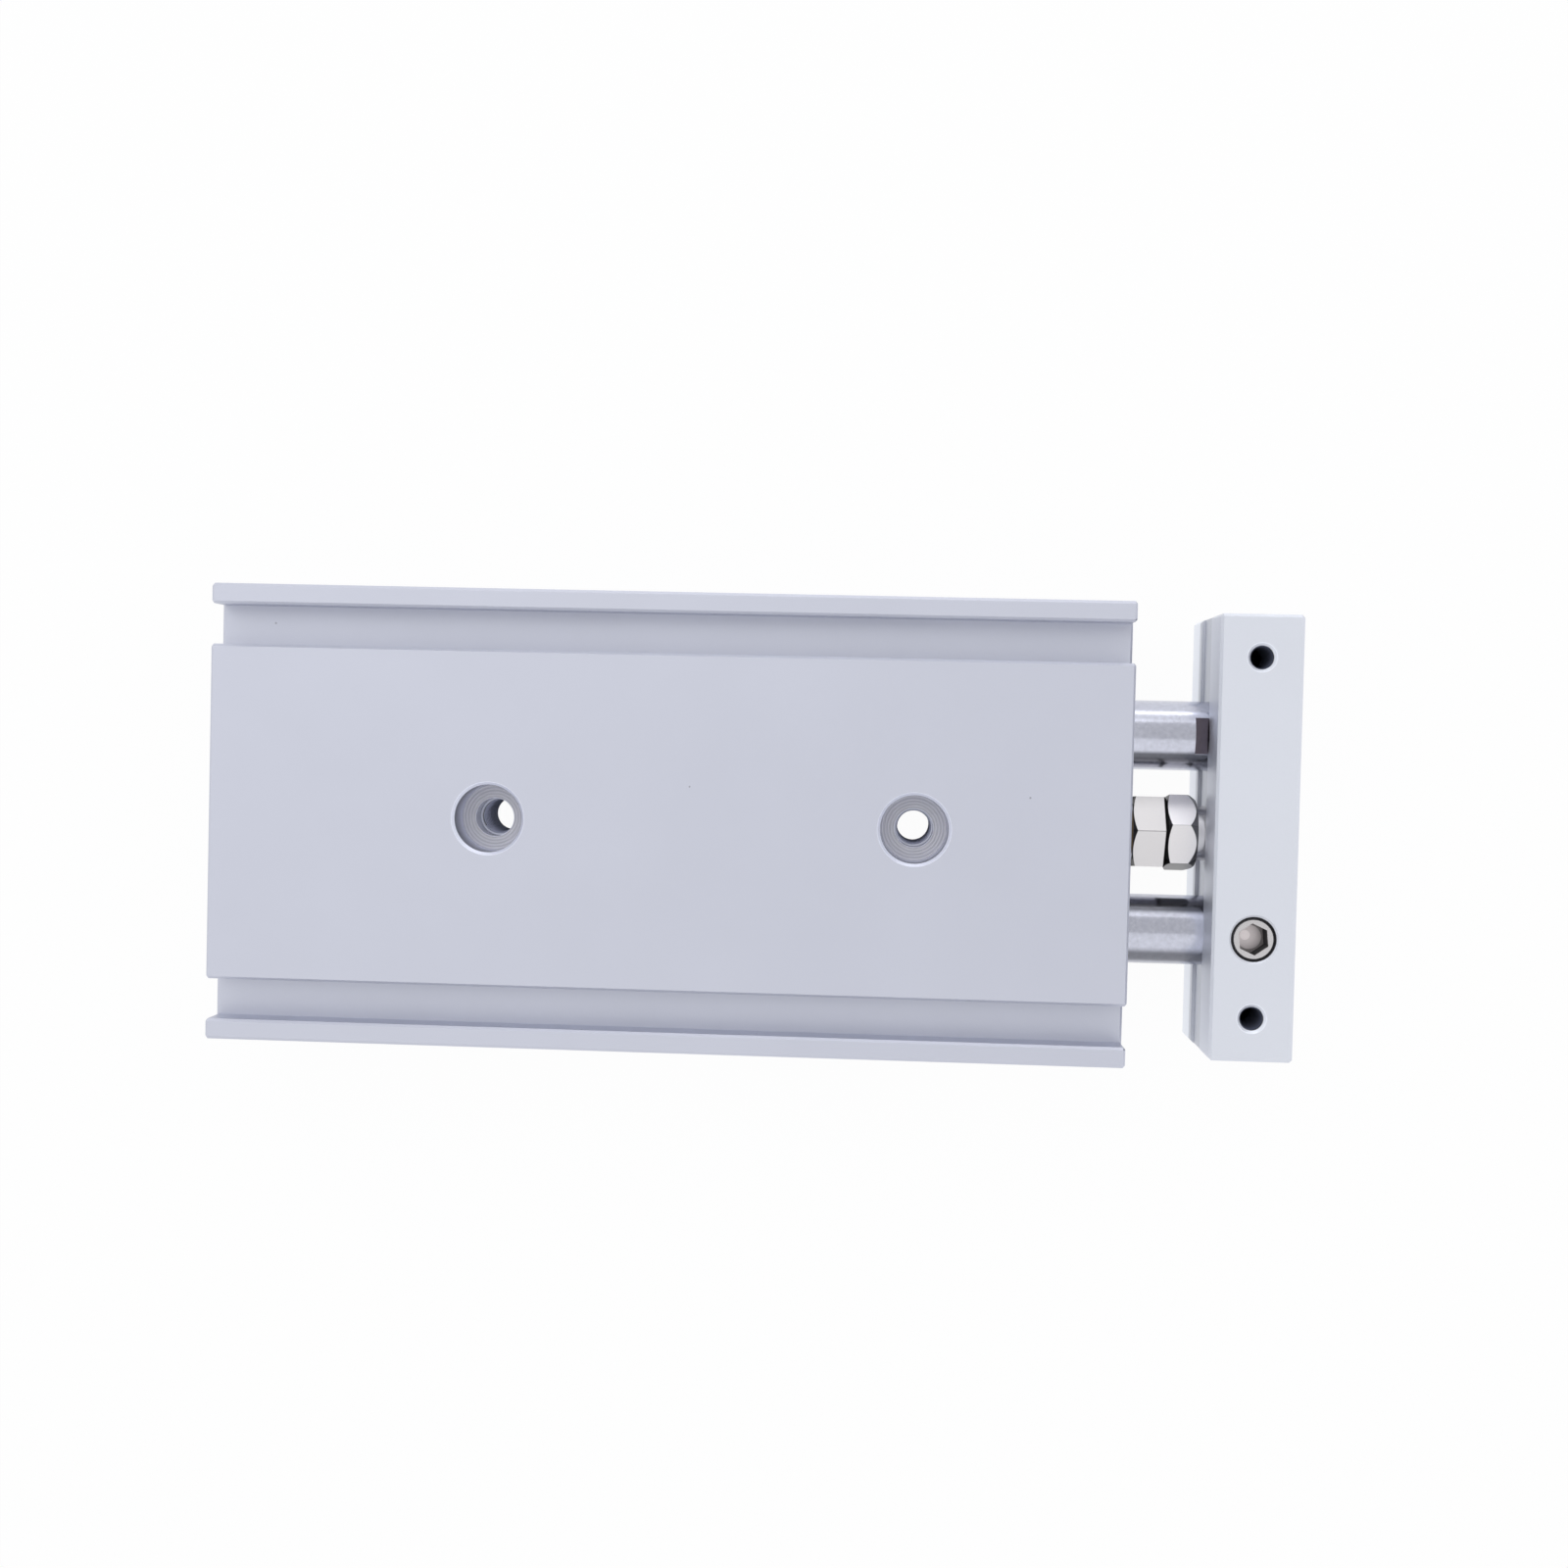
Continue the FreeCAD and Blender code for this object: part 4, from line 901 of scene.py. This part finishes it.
    # Painted light on the nut's upper facet, painted shade on its under facet, and painted shade lines
    # along a corner of the head and of the nut.
    FACETS = (
        Facet(NUT_SPAN, 13.5, 73.5, 1.24),
        Facet(NUT_SPAN, -106.5, -46.5, 0.3),
        Facet(HEAD_SPAN, 3.2, 4.8, 0.6),
        Facet(NUT_SPAN, 12.9, 14.1, 0.75),
    )
    ALL: tuple[Finish, ...] = (
        BlastedAluminium(
            "anodised_aluminium",
            (0.60, 0.618, 0.705),
            1.0,
            0.5,
            7000.0,
            0.000006,
            0.05,
            (SEATS, SEAT_RIM_HIGHLIGHT, DRILLED, TAPPED),
        ),
        GroundBar("hard_chrome", (0.59, 0.605, 0.70), 1.0, 0.2, 3000.0, 0.00002, 0.05, (FLATS,)),
        TurnedMetal("turned_aluminium", (0.60, 0.62, 0.67), 1.0, 0.34, 5000.0, 0.000004, 0.05),
        NickelSteel(
            "nickel_steel",
            (0.70, 0.685, 0.70),
            1.0,
            0.27,
            3500.0,
            0.000004,
            0.06,
            (SOCKET, SOCKET_FLOOR, SOCKET_RIM_SHADE, SOCKET_HIGHLIGHT, BOLT_GAP_SHADE, HEX_GAP_SHADE, NUT),
            corners=CORNERS,
            facets=FACETS,
        ),
        Finish("bright_steel", (0.66, 0.66, 0.65), 1.0, 0.25, 3500.0, 0.000003, 0.05),
        Finish("phosphated_steel", (0.075, 0.075, 0.08), 0.6, 0.5, 6000.0, 0.000005, 0.15),
        Finish("black_steel", (0.03, 0.03, 0.033), 0.5, 0.38, 5000.0, 0.000004, 0.12),
        Finish("seal_rubber", (0.02, 0.02, 0.022), 0.0, 0.55, 4000.0, 0.000004, 0.1),
        Finish("cushion_urethane", (0.30, 0.20, 0.08), 0.0, 0.42, 2500.0, 0.000003, 0.06),
        Finish("wear_resin", (0.08, 0.075, 0.07), 0.0, 0.5, 4000.0, 0.000003, 0.08),
        Finish("bonded_magnet", (0.05, 0.05, 0.055), 0.2, 0.6, 4000.0, 0.000004, 0.1),
    )
    THREAD = Finish("thread_aluminium", (0.46, 0.48, 0.57), 1.0, 0.4, 4000.0, 0.000003, 0.06)
    # Painted shade: these crests are drawn nearly black and dull, for the shade inside the plate's M4
    # holes.
    SHADED_THREAD = Finish("thread_painted_shade", (0.085, 0.095, 0.14), 0.0, 0.8, 4000.0, 0.000003, 0.06, shine=0.0)
    OWN = {"end_plate": "plate_aluminium"}
    PLATE = PlateAluminium(
        "plate_aluminium",
        (0.725, 0.75, 0.82),
        1.0,
        0.5,
        7000.0,
        0.000006,
        0.04,
        (EDGE_HOLE_SHADE, EDGE_RIM_HIGHLIGHT, SET_WALL_SHADE),
    )

    def __init__(self, effects: Effects) -> None:
        """Build the materials."""
        every = (*self.ALL, self.THREAD, self.SHADED_THREAD, self.PLATE)
        self.by_slot = {item.name: item.material(effects) for item in every}

    def dress_nodes(self, nodes: dict[str, bpy.types.Object]) -> None:
        """Give each CAD node the finish of its slot.

        Args:
            nodes: The frame's nodes by name.
        """
        for name, node in nodes.items():
            for place in node.material_slots:
                slot = place.material.name.split(".")[0]
                place.material = self.by_slot[self.OWN.get(name, slot)]
            log.info("node %s dressed", name)


# --- geometry trees --------------------------------------------------------------------------


class ModelTree:
    """Start of a Geometry Nodes tree that ends in Realize Instances and Set Material.

    Args:
        name: The tree's name.
        sizes: Socket type and default value of each named input.
    """

    name: str = "model"
    sizes: dict[str, tuple[str, object]] = {}

    def __init__(self) -> None:
        """Build the tree with its named inputs."""
        self.tree = bpy.data.node_groups.new(self.name, "GeometryNodeTree")
        face = self.tree.interface
        face.new_socket("Geometry", in_out="INPUT", socket_type="NodeSocketGeometry")
        for key, (kind, value) in self.sizes.items():
            socket = face.new_socket(key, in_out="INPUT", socket_type=kind)
            socket.default_value = value
        face.new_socket("Finish", in_out="INPUT", socket_type="NodeSocketMaterial")
        face.new_socket("Geometry", in_out="OUTPUT", socket_type="NodeSocketGeometry")
        self.graph = Graph(self.tree)
        self.entry = self.graph.add("NodeGroupInput")
        whole = self.graph.add("GeometryNodeRealizeInstances", {"Geometry": self.shape()}).outputs[0]
        painted = self.graph.add(
            "GeometryNodeSetMaterial", {"Geometry": whole, "Material": self.entry.outputs["Finish"]}
        )
        self.graph.add("NodeGroupOutput", {0: painted.outputs[0]})

    def shape(self) -> bpy.types.NodeSocket:
        """Make the geometry before it is realized."""
        raise NotImplementedError

    def piece(
        self,
        name: str,
        points: list[Vector],
        body: Body,
        finish: bpy.types.Material,
        slot: str,
        **sizes: object,
    ) -> bpy.types.Object:
        """Run the tree on some points and keep the result as a plain mesh.

        Args:
            name: The piece's name.
            points: Places that the tree reads.
            body: The body that the piece rides on.
            finish: Its material.
            slot: The record's slot that the finish belongs to; not used.
            **sizes: Values of the tree's named inputs, with _ for a space.

        Returns:
            The finished piece.
        """
        seed = bpy.data.meshes.new(f"{name}_seed")
        seed.from_pydata([tuple(point) for point in points], [], [])
        holder = bpy.data.objects.new(f"{name}_holder", seed)
        bpy.context.scene.collection.objects.link(holder)
        modifier = holder.modifiers.new("shape", "NODES")
        modifier.node_group = self.tree
        sockets = [item for item in self.tree.interface.items_tree if item.in_out == "INPUT"]
        identifiers = {item.name: item.identifier for item in sockets}
        for key, value in sizes.items():
            modifier[identifiers[key.replace("_", " ")]] = value
        modifier[identifiers["Finish"]] = finish
        graph = bpy.context.evaluated_depsgraph_get()
        mesh = bpy.data.meshes.new_from_object(holder.evaluated_get(graph), depsgraph=graph)
        holder.modifiers.remove(modifier)
        bpy.data.objects.remove(holder)
        mesh.name = name
        made = bpy.data.objects.new(name, mesh)
        bpy.context.scene.collection.objects.link(made)
        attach(made, body.value)
        log.info("%s: %d faces on %s", name, len(mesh.polygons), body.value)
        return made


class ThreadTree(ModelTree):
    """Helical thread crests at each point, going down from it along the hole.

    CREST_RISE is the height of a three-sided profile whose radius is 1, and CREST_INSET how far
    the profile's middle lies inside the drill hole, as a share of its radius.
    """

    name = "thread_crests"
    sizes = {
        "Radius": ("NodeSocketFloat", 2.5 * MM),
        "Depth": ("NodeSocketFloat", 0.2 * MM),
        "Pitch": ("NodeSocketFloat", 1.0 * MM),
        "Turns": ("NodeSocketFloat", 8.0),
        "Facing": ("NodeSocketVector", (0.0, 0.0, 0.0)),
    }
    STEPS_PER_TURN = 28
    PROFILE_SIDES = 3
    CREST_RISE = 1.5
    CREST_INSET = 0.4

    def shape(self) -> bpy.types.NodeSocket:
        """Sweep a triangle along a helix and place it at every point."""
        graph, size = self.graph, self.entry.outputs
        reach = graph.math("DIVIDE", size["Depth"], self.CREST_RISE)
        middle = graph.math("MULTIPLY_ADD", reach, -self.CREST_INSET, size["Radius"])
        rise = graph.math("MULTIPLY", size["Pitch"], size["Turns"])
        helix = graph.add(
            "GeometryNodeCurveSpiral",
            {
                "Resolution": self.STEPS_PER_TURN,
                "Rotations": size["Turns"],
                "Start Radius": middle,
                "End Radius": middle,
                "Height": rise,
            },
        )
        upright = graph.add("GeometryNodeSetCurveNormal", {"Curve": helix.outputs[0]})
        set_normal_mode(upright)
        profile = graph.add(
            "GeometryNodeCurvePrimitiveCircle", {"Resolution": self.PROFILE_SIDES, "Radius": reach}
        )
        swept = graph.add(
            "GeometryNodeCurveToMesh",
            {"Curve": upright.outputs[0], "Profile Curve": profile.outputs[0], "Fill Caps": True},
        )
        shift = graph.join(0.0, 0.0, graph.math("MULTIPLY", rise, -1.0))
        down = graph.add("GeometryNodeTransform", {"Geometry": swept.outputs[0], "Translation": shift})
        flat = graph.add("GeometryNodeSetShadeSmooth", {"Geometry": down.outputs[0], "Shade Smooth": False})
        placed = graph.add(
            "GeometryNodeInstanceOnPoints",
            {"Points": size["Geometry"], "Instance": flat.outputs[0], "Rotation": size["Facing"]},
        )
        return placed.outputs[0]


def set_normal_mode(node: bpy.types.Node) -> None:
    """Keep a swept profile level, so that it neither tips nor turns along a helix.

    Args:
        node: The Set Curve Normal node.
    """
    if "Mode" in node.inputs:
        node.inputs["Mode"].default_value = "Z Up"
    else:
        node.mode = "Z_UP"


class KnurlTree(ModelTree):
    """Straight knurl: narrow three-sided ridges round each point, along its X axis."""

    name = "straight_knurl"
    sizes = {
        "Radius": ("NodeSocketFloat", 4.2 * MM),
        "Length": ("NodeSocketFloat", 4.0 * MM),
        "Ridge": ("NodeSocketFloat", 0.22 * MM),
        "Count": ("NodeSocketInt", 48),
    }
    RIDGE_SIDES = 3

    def shape(self) -> bpy.types.NodeSocket:
        """Put a three-sided ridge at every step of a circle, and the circle at every point."""
        graph, size = self.graph, self.entry.outputs
        circle = graph.add("GeometryNodeMeshCircle", {"Vertices": size["Count"], "Radius": size["Radius"]})
        ridge = graph.add(
            "GeometryNodeMeshCylinder",
            {"Vertices": self.RIDGE_SIDES, "Radius": size["Ridge"], "Depth": size["Length"]},
        )
        step = graph.add("GeometryNodeInputIndex").outputs[0]
        angle = graph.math("MULTIPLY", graph.math("DIVIDE", step, size["Count"]), math.tau)
        turned = graph.join(0.0, 0.0, angle)
        ring = graph.add(
            "GeometryNodeInstanceOnPoints",
            {"Points": circle.outputs[0], "Instance": ridge.outputs[0], "Rotation": turned},
        )
        whole = graph.add("GeometryNodeRealizeInstances", {"Geometry": ring.outputs[0]})
        placed = graph.add(
            "GeometryNodeInstanceOnPoints",
            {"Points": size["Geometry"], "Instance": whole.outputs[0], "Rotation": Facing.FRONT.value},
        )
        return placed.outputs[0]


# --- sub-assemblies --------------------------------------------------------------------------


class Tap(Enum):
    """Radius of the tap drill and pitch of each thread."""

    M4 = (1.65 * MM, 0.7 * MM)
    M5 = (2.1 * MM, 0.8 * MM)
    M6 = (2.5 * MM, 1.0 * MM)


@dataclass
class Threads:
    """One set of equal tapped holes.

    Args:
        name: Name of the piece that shows the thread.
        body: Body that the holes belong to.
        mouths: Where the thread starts in each hole.
        facing: Way that the holes' mouths look.
        tap: The thread.
        length: Length of the thread.
        finish: Name of the crests' finish.
        depth: Height of the crests that show in the drill hole.
    """

    name: str
    body: Body
    mouths: list[Vector]
    facing: Facing
    tap: Tap
    length: float
    finish: str = "thread_aluminium"
    depth: float = 0.16 * MM

    def build(self, tree: ThreadTree, finishes: Finishes) -> bpy.types.Object:
        """Make the thread crests.

        Args:
            tree: The thread's Geometry Nodes tree.
            finishes: The materials.

        Returns:
            The piece.
        """
        radius, pitch = self.tap.value
        return tree.piece(
            self.name,
            self.mouths,
            self.body,
            finishes.by_slot[self.finish],
            "anodised_aluminium",
            Radius=radius,
            Depth=self.depth,
            Pitch=pitch,
            Turns=self.length / pitch,
            Facing=self.facing.value,
        )


@dataclass
class CylinderBody:
    """The housing and what closes its bores.

    Args:
        hole_offset: Distance of a mounting hole from the origin, along X.
        tapped_from: Height where the mounting holes' thread ends, above the mounting face.
        tapped_to: Height where it starts.
        rear_port: Distance of the rear port from the housing's tail.
        front_port: Distance of the front port from the housing's rod end.
        port_inset: How far inside a port's mouth its thread starts.
        port_deep: Length of a port's thread.
        puller_inset: How far inside a head cover its puller thread starts.
        puller_deep: Length of a puller thread.
    """

    hole_offset: float = 30 * MM
    tapped_from: float = 5.6 * MM
    tapped_to: float = 16.0 * MM
    rear_port: float = 10 * MM
    front_port: float = 24.6 * MM
    port_inset: float = 0.5 * MM
    port_deep: float = 6.8 * MM
    puller_inset: float = 0.2 * MM
    puller_deep: float = 4.6 * MM

    def build(self, tree: ThreadTree, finishes: Finishes) -> None:
        """Add the threads of the mounting holes, of the ports that face -Y and of the puller holes.

        Args:
            tree: The thread's Geometry Nodes tree.
            finishes: The materials.
        """
        low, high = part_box("housing")
        cover_low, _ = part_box("head_cover_a")
        level, entry = AXIS_HEIGHT, cover_low.x + self.puller_inset
        places = (low.x + self.rear_port, high.x - self.front_port)
        holes = [Vector((way * self.hole_offset, 0.0, self.tapped_to)) for way in SIDES]
        ports = [Vector((place, low.y + self.port_inset, level)) for place in places]
        pullers = [Vector((entry, way * BORE_OFFSET, level)) for way in SIDES]
        tapped = self.tapped_to - self.tapped_from
        body = Body.CYLINDER
        for threads in (
            Threads("mounting_threads", body, holes, Facing.UP, Tap.M6, tapped),
            Threads("port_threads", body, ports, Facing.RIGHT, Tap.M5, self.port_deep),
            Threads("puller_threads", body, pullers, Facing.REAR, Tap.M4, self.puller_deep),
        ):
            threads.build(tree, finishes)


@dataclass
class RodAssembly:
    """The plate, its rods and its screws.

    Args:
        edge_pitch: Distance between the tapped holes in the plate's edges.
        edge_deep: Length of the thread at each end of such a hole.
        load_wide: Distance between the load holes, across the plate.
        load_tall: Distance between the load holes, up the plate.
        load_deep: Length of their thread.
        inset: How far inside a hole's mouth its thread starts.
        knurl_radius: Radius of the circle that the knurl's ridges stand on.
        knurl_long: Length of the ridges.
        knurl_inset: Distance from the cap screw's outer face to the ridges.
    """

    edge_pitch: float = 50 * MM
    edge_deep: float = 9 * MM
    load_wide: float = 41 * MM
    load_tall: float = 14 * MM
    load_deep: float = 7.2 * MM
    inset: float = 0.4 * MM
    knurl_radius: float = 4.2 * MM
    knurl_long: float = 3.4 * MM
    knurl_inset: float = 0.9 * MM

    def build(self, tree: ThreadTree, knurl: KnurlTree, finishes: Finishes) -> None:
        """Add the plate's threads and the knurl of the cap screw.

        Args:
            tree: The thread's Geometry Nodes tree.
            knurl: The knurl's Geometry Nodes tree.
            finishes: The materials.
        """
        low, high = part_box("end_plate")
        middle = (low.x + high.x) / 2
        for name, level, facing in (
            ("upper_edge_threads", high.z - self.inset, Facing.UP),
            ("lower_edge_threads", low.z + self.inset, Facing.DOWN),
        ):
            mouths = [Vector((middle, way * self.edge_pitch / 2, level)) for way in SIDES]
            threads = Threads(name, Body.RODS, mouths, facing, Tap.M4, self.edge_deep, "thread_painted_shade")
            threads.build(tree, finishes)
        outer, wide, tall = high.x - self.inset, self.load_wide / 2, self.load_tall / 2
        load_holes = [
            Vector((outer, across * wide, AXIS_HEIGHT + up * tall)) for across in SIDES for up in SIDES
        ]
        threads = Threads("load_threads", Body.RODS, load_holes, Facing.FRONT, Tap.M5, self.load_deep)
        threads.build(tree, finishes)
        _, screw_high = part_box("rod_a_screw")
        ridges = screw_high.x - self.knurl_inset - self.knurl_long / 2
        knurl.piece(
            "cap_screw_knurl",
            [Vector((ridges, BORE_OFFSET, AXIS_HEIGHT))],
            Body.RODS,
            finishes.by_slot["black_steel"],
            "black_steel",
            Radius=self.knurl_radius,
            Length=self.knurl_long,
        )


# --- studio ----------------------------------------------------------------------------------


def flat_piece(name: str, corners: list[Vector], paint: bpy.types.Material) -> bpy.types.Object:
    """Make a flat four-sided piece of the stage.

    Args:
        name: The piece's name.
        corners: Its corners, in order.
        paint: Its material.

    Returns:
        The piece.
    """
    mesh = bpy.data.meshes.new(name)
    mesh.from_pydata(corners, [], [(0, 1, 2, 3)])
    mesh.materials.append(paint)
    made = bpy.data.objects.new(name, mesh)
    bpy.context.scene.collection.objects.link(made)
    return made


@dataclass(frozen=True)
class Card:
    """A flat card that only reflections see.

    Args:
        name: The card's name.
        centre: Its middle.
        wide: Its width.
        tall: Its height.
        towards: Point that it faces.
        level: How bright it shows.
    """

    name: str
    centre: Triple
    wide: float
    tall: float
    towards: Triple
    level: float

    def build(self) -> bpy.types.Object:
        """Make the card.

        Returns:
            The card, which only reflections see.
        """
        wide, tall, centre = self.wide / 2, self.tall / 2, Vector(self.centre)
        turn = (Vector(self.towards) - centre).to_track_quat("Z", "Y")
        corners = [(-wide, -tall), (wide, -tall), (wide, tall), (-wide, tall)]
        paint, graph = empty_material(self.name)
        glow = graph.add("ShaderNodeEmission", {"Color": FULL_WHITE, "Strength": self.level})
        graph.add("ShaderNodeOutputMaterial", {"Surface": glow.outputs[0]})
        made = flat_piece(self.name, [turn @ Vector((x, y, 0.0)) + centre for x, y in corners], paint)
        made.visible_camera = made.visible_diffuse = made.visible_shadow = False
        made.visible_transmission = made.visible_volume_scatter = False
        return made


@dataclass(frozen=True)
class Lamp:
    """A soft rectangular lamp that faces the origin.

    Args:
        name: The lamp's name.
        place: Its middle.
        power: Its power, in watts.
        wide: Its width.
        tall: Its height.
    """

    name: str
    place: Triple
    power: float
    wide: float
    tall: float

    def build(self) -> bpy.types.Object:
        """Make the lamp.

        Returns:
            The lamp.
        """
        lamp = bpy.data.lights.new(self.name, "AREA")
        lamp.shape = "RECTANGLE"
        lamp.energy, lamp.size, lamp.size_y = self.power, self.wide, self.tall
        made = bpy.data.objects.new(self.name, lamp)
        made.location = self.place
        made.rotation_euler = (-Vector(self.place)).to_track_quat("-Z", "Y").to_euler()
        bpy.context.scene.collection.objects.link(made)
        return made


@dataclass
class Studio:
    """Floor, lights and camera.

    Args:
        camera_at: Place of the camera.
        camera_axes: The camera's right, up and backward directions.
        lens: Focal length in millimetres.
        sensor: Width of the sensor in millimetres.
        clip: Nearest and farthest distance that the camera sees.
        sky: Strength of the world for diffuse light.
        floor_glow: Share of plain white in what the camera and reflections see of the floor.
        floor_half: Half the floor's width.
        floor_level: Height of the floor.
        floor_colour: Its colour under diffuse light.
        lamps: Two lamps on the side of bore a, one well above it and a low one.
        card: A grey card overhead, which gives the rods and screws their grey bands.
    """

    camera_at: Triple = (25.759 * MM, 12.612 * MM, 291.775 * MM)
    camera_axes: tuple[Triple, Triple, Triple] = (
        (0.99830, 0.02385, -0.05325),
        (-0.02515, 0.99940, -0.02377),
        (0.05265, 0.02507, 0.99830),
    )
    lens: float = 43.966
    sensor: float = 36.0
    clip: Pair = (0.01, 10.0)
    sky: float = 0.72
    floor_glow: float = 0.965
    floor_half: float = 2.0
    floor_level: float = -0.05 * MM
    floor_colour: Colour = (0.86, 0.87, 0.89)
    lamps: tuple[Lamp, ...] = (
        Lamp("key", (-0.12, 0.45, 0.75), 1.7, 0.7, 0.7),
        Lamp("side", (0.1, 0.65, 0.13), 0.3, 0.5, 0.09),
    )
    card: Card = Card("overhead_card", (0.06, 0.18, 0.62), 0.7, 0.68, (0.066, 0.0, AXIS_HEIGHT), 0.66)

    def build(self) -> None:
        """Set up the whole studio."""
        self.world()
        self.floor()
        for lamp in self.lamps:
            lamp.build()
        self.card.build()
        self.camera()

    @staticmethod
    def seen_directly(graph: Graph) -> bpy.types.NodeSocket:
        """1 for camera, glossy and transmission rays, 0 for the rest.

        Args:
            graph: The graph of the material or the world.

        Returns:
            The output socket.
        """
        path = graph.add("ShaderNodeLightPath").outputs
        shiny = graph.math("MAXIMUM", path["Is Glossy Ray"], path["Is Transmission Ray"])
        return graph.math("MAXIMUM", path["Is Camera Ray"], shiny)

    def world(self) -> None:
        """White backdrop with a softer light on diffuse surfaces."""
        world = bpy.data.worlds.new("studio")
        bpy.context.scene.world = world
        world.use_nodes = True
        world.node_tree.nodes.clear()
        graph = Graph(world.node_tree)
        strength = graph.ramp(self.seen_directly(graph), 0.0, 1.0, self.sky, 1.0)
        sky = graph.add("ShaderNodeBackground", {"Color": FULL_WHITE, "Strength": strength})
        graph.add("ShaderNodeOutputWorld", {"Surface": sky.outputs[0]})

    def floor(self) -> None:
        """Pale floor that shows white, keeps a soft shadow and lets a view from below through."""
        paint, graph = empty_material("floor")
        matt = graph.add("ShaderNodeBsdfDiffuse", {"Color": (*self.floor_colour, 1.0)})
        white = graph.add("ShaderNodeEmission", {"Color": FULL_WHITE, "Strength": 1.0})
        share = graph.math("MULTIPLY", self.seen_directly(graph), self.floor_glow)
        mixed = graph.add("ShaderNodeMixShader", {0: share, 1: matt.outputs[0], 2: white.outputs[0]})
        below = graph.add("ShaderNodeNewGeometry").outputs["Backfacing"]
        clear = graph.add("ShaderNodeBsdfTransparent")
        sided = graph.add("ShaderNodeMixShader", {0: below, 1: mixed.outputs[0], 2: clear.outputs[0]})
        graph.add("ShaderNodeOutputMaterial", {"Surface": sided.outputs[0]})
        half, level = self.floor_half, self.floor_level
        corners = [(-half, -half, level), (half, -half, level), (half, half, level), (-half, half, level)]
        flat_piece("floor", [Vector(corner) for corner in corners], paint)

    def camera(self) -> None:
        """Camera above the cylinder, looking down on its grooved face."""
        data = bpy.data.cameras.new("camera")
        data.sensor_width, data.lens = self.sensor, self.lens
        data.clip_start, data.clip_end = self.clip
        made = bpy.data.objects.new("camera", data)
        turn = Matrix(self.camera_axes).transposed().to_4x4()
        made.matrix_world = Matrix.Translation(Vector(self.camera_at)) @ turn
        bpy.context.scene.collection.objects.link(made)
        bpy.context.scene.camera = made


# --- the whole scene -------------------------------------------------------------------------


def clear_scene() -> None:
    """Remove what the start-up file holds beside the frame."""
    kept = {*frame["nodes"].values(), *frame["bodies"].values()}
    for item in [item for item in bpy.data.objects if item not in kept]:
        bpy.data.objects.remove(item)


def main() -> None:
    """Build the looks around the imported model."""
    logging.basicConfig(level=logging.INFO, format="%(name)s: %(message)s")
    clear_scene()
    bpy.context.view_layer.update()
    bpy.context.scene.view_settings.view_transform = "Standard"
    finishes = Finishes(Effects())
    finishes.dress_nodes(frame["nodes"])
    threads, knurl = ThreadTree(), KnurlTree()
    CylinderBody().build(threads, finishes)
    RodAssembly().build(threads, knurl, finishes)
    Studio().build()
    bpy.context.view_layer.update()


if __name__ == "__main__":
    main()
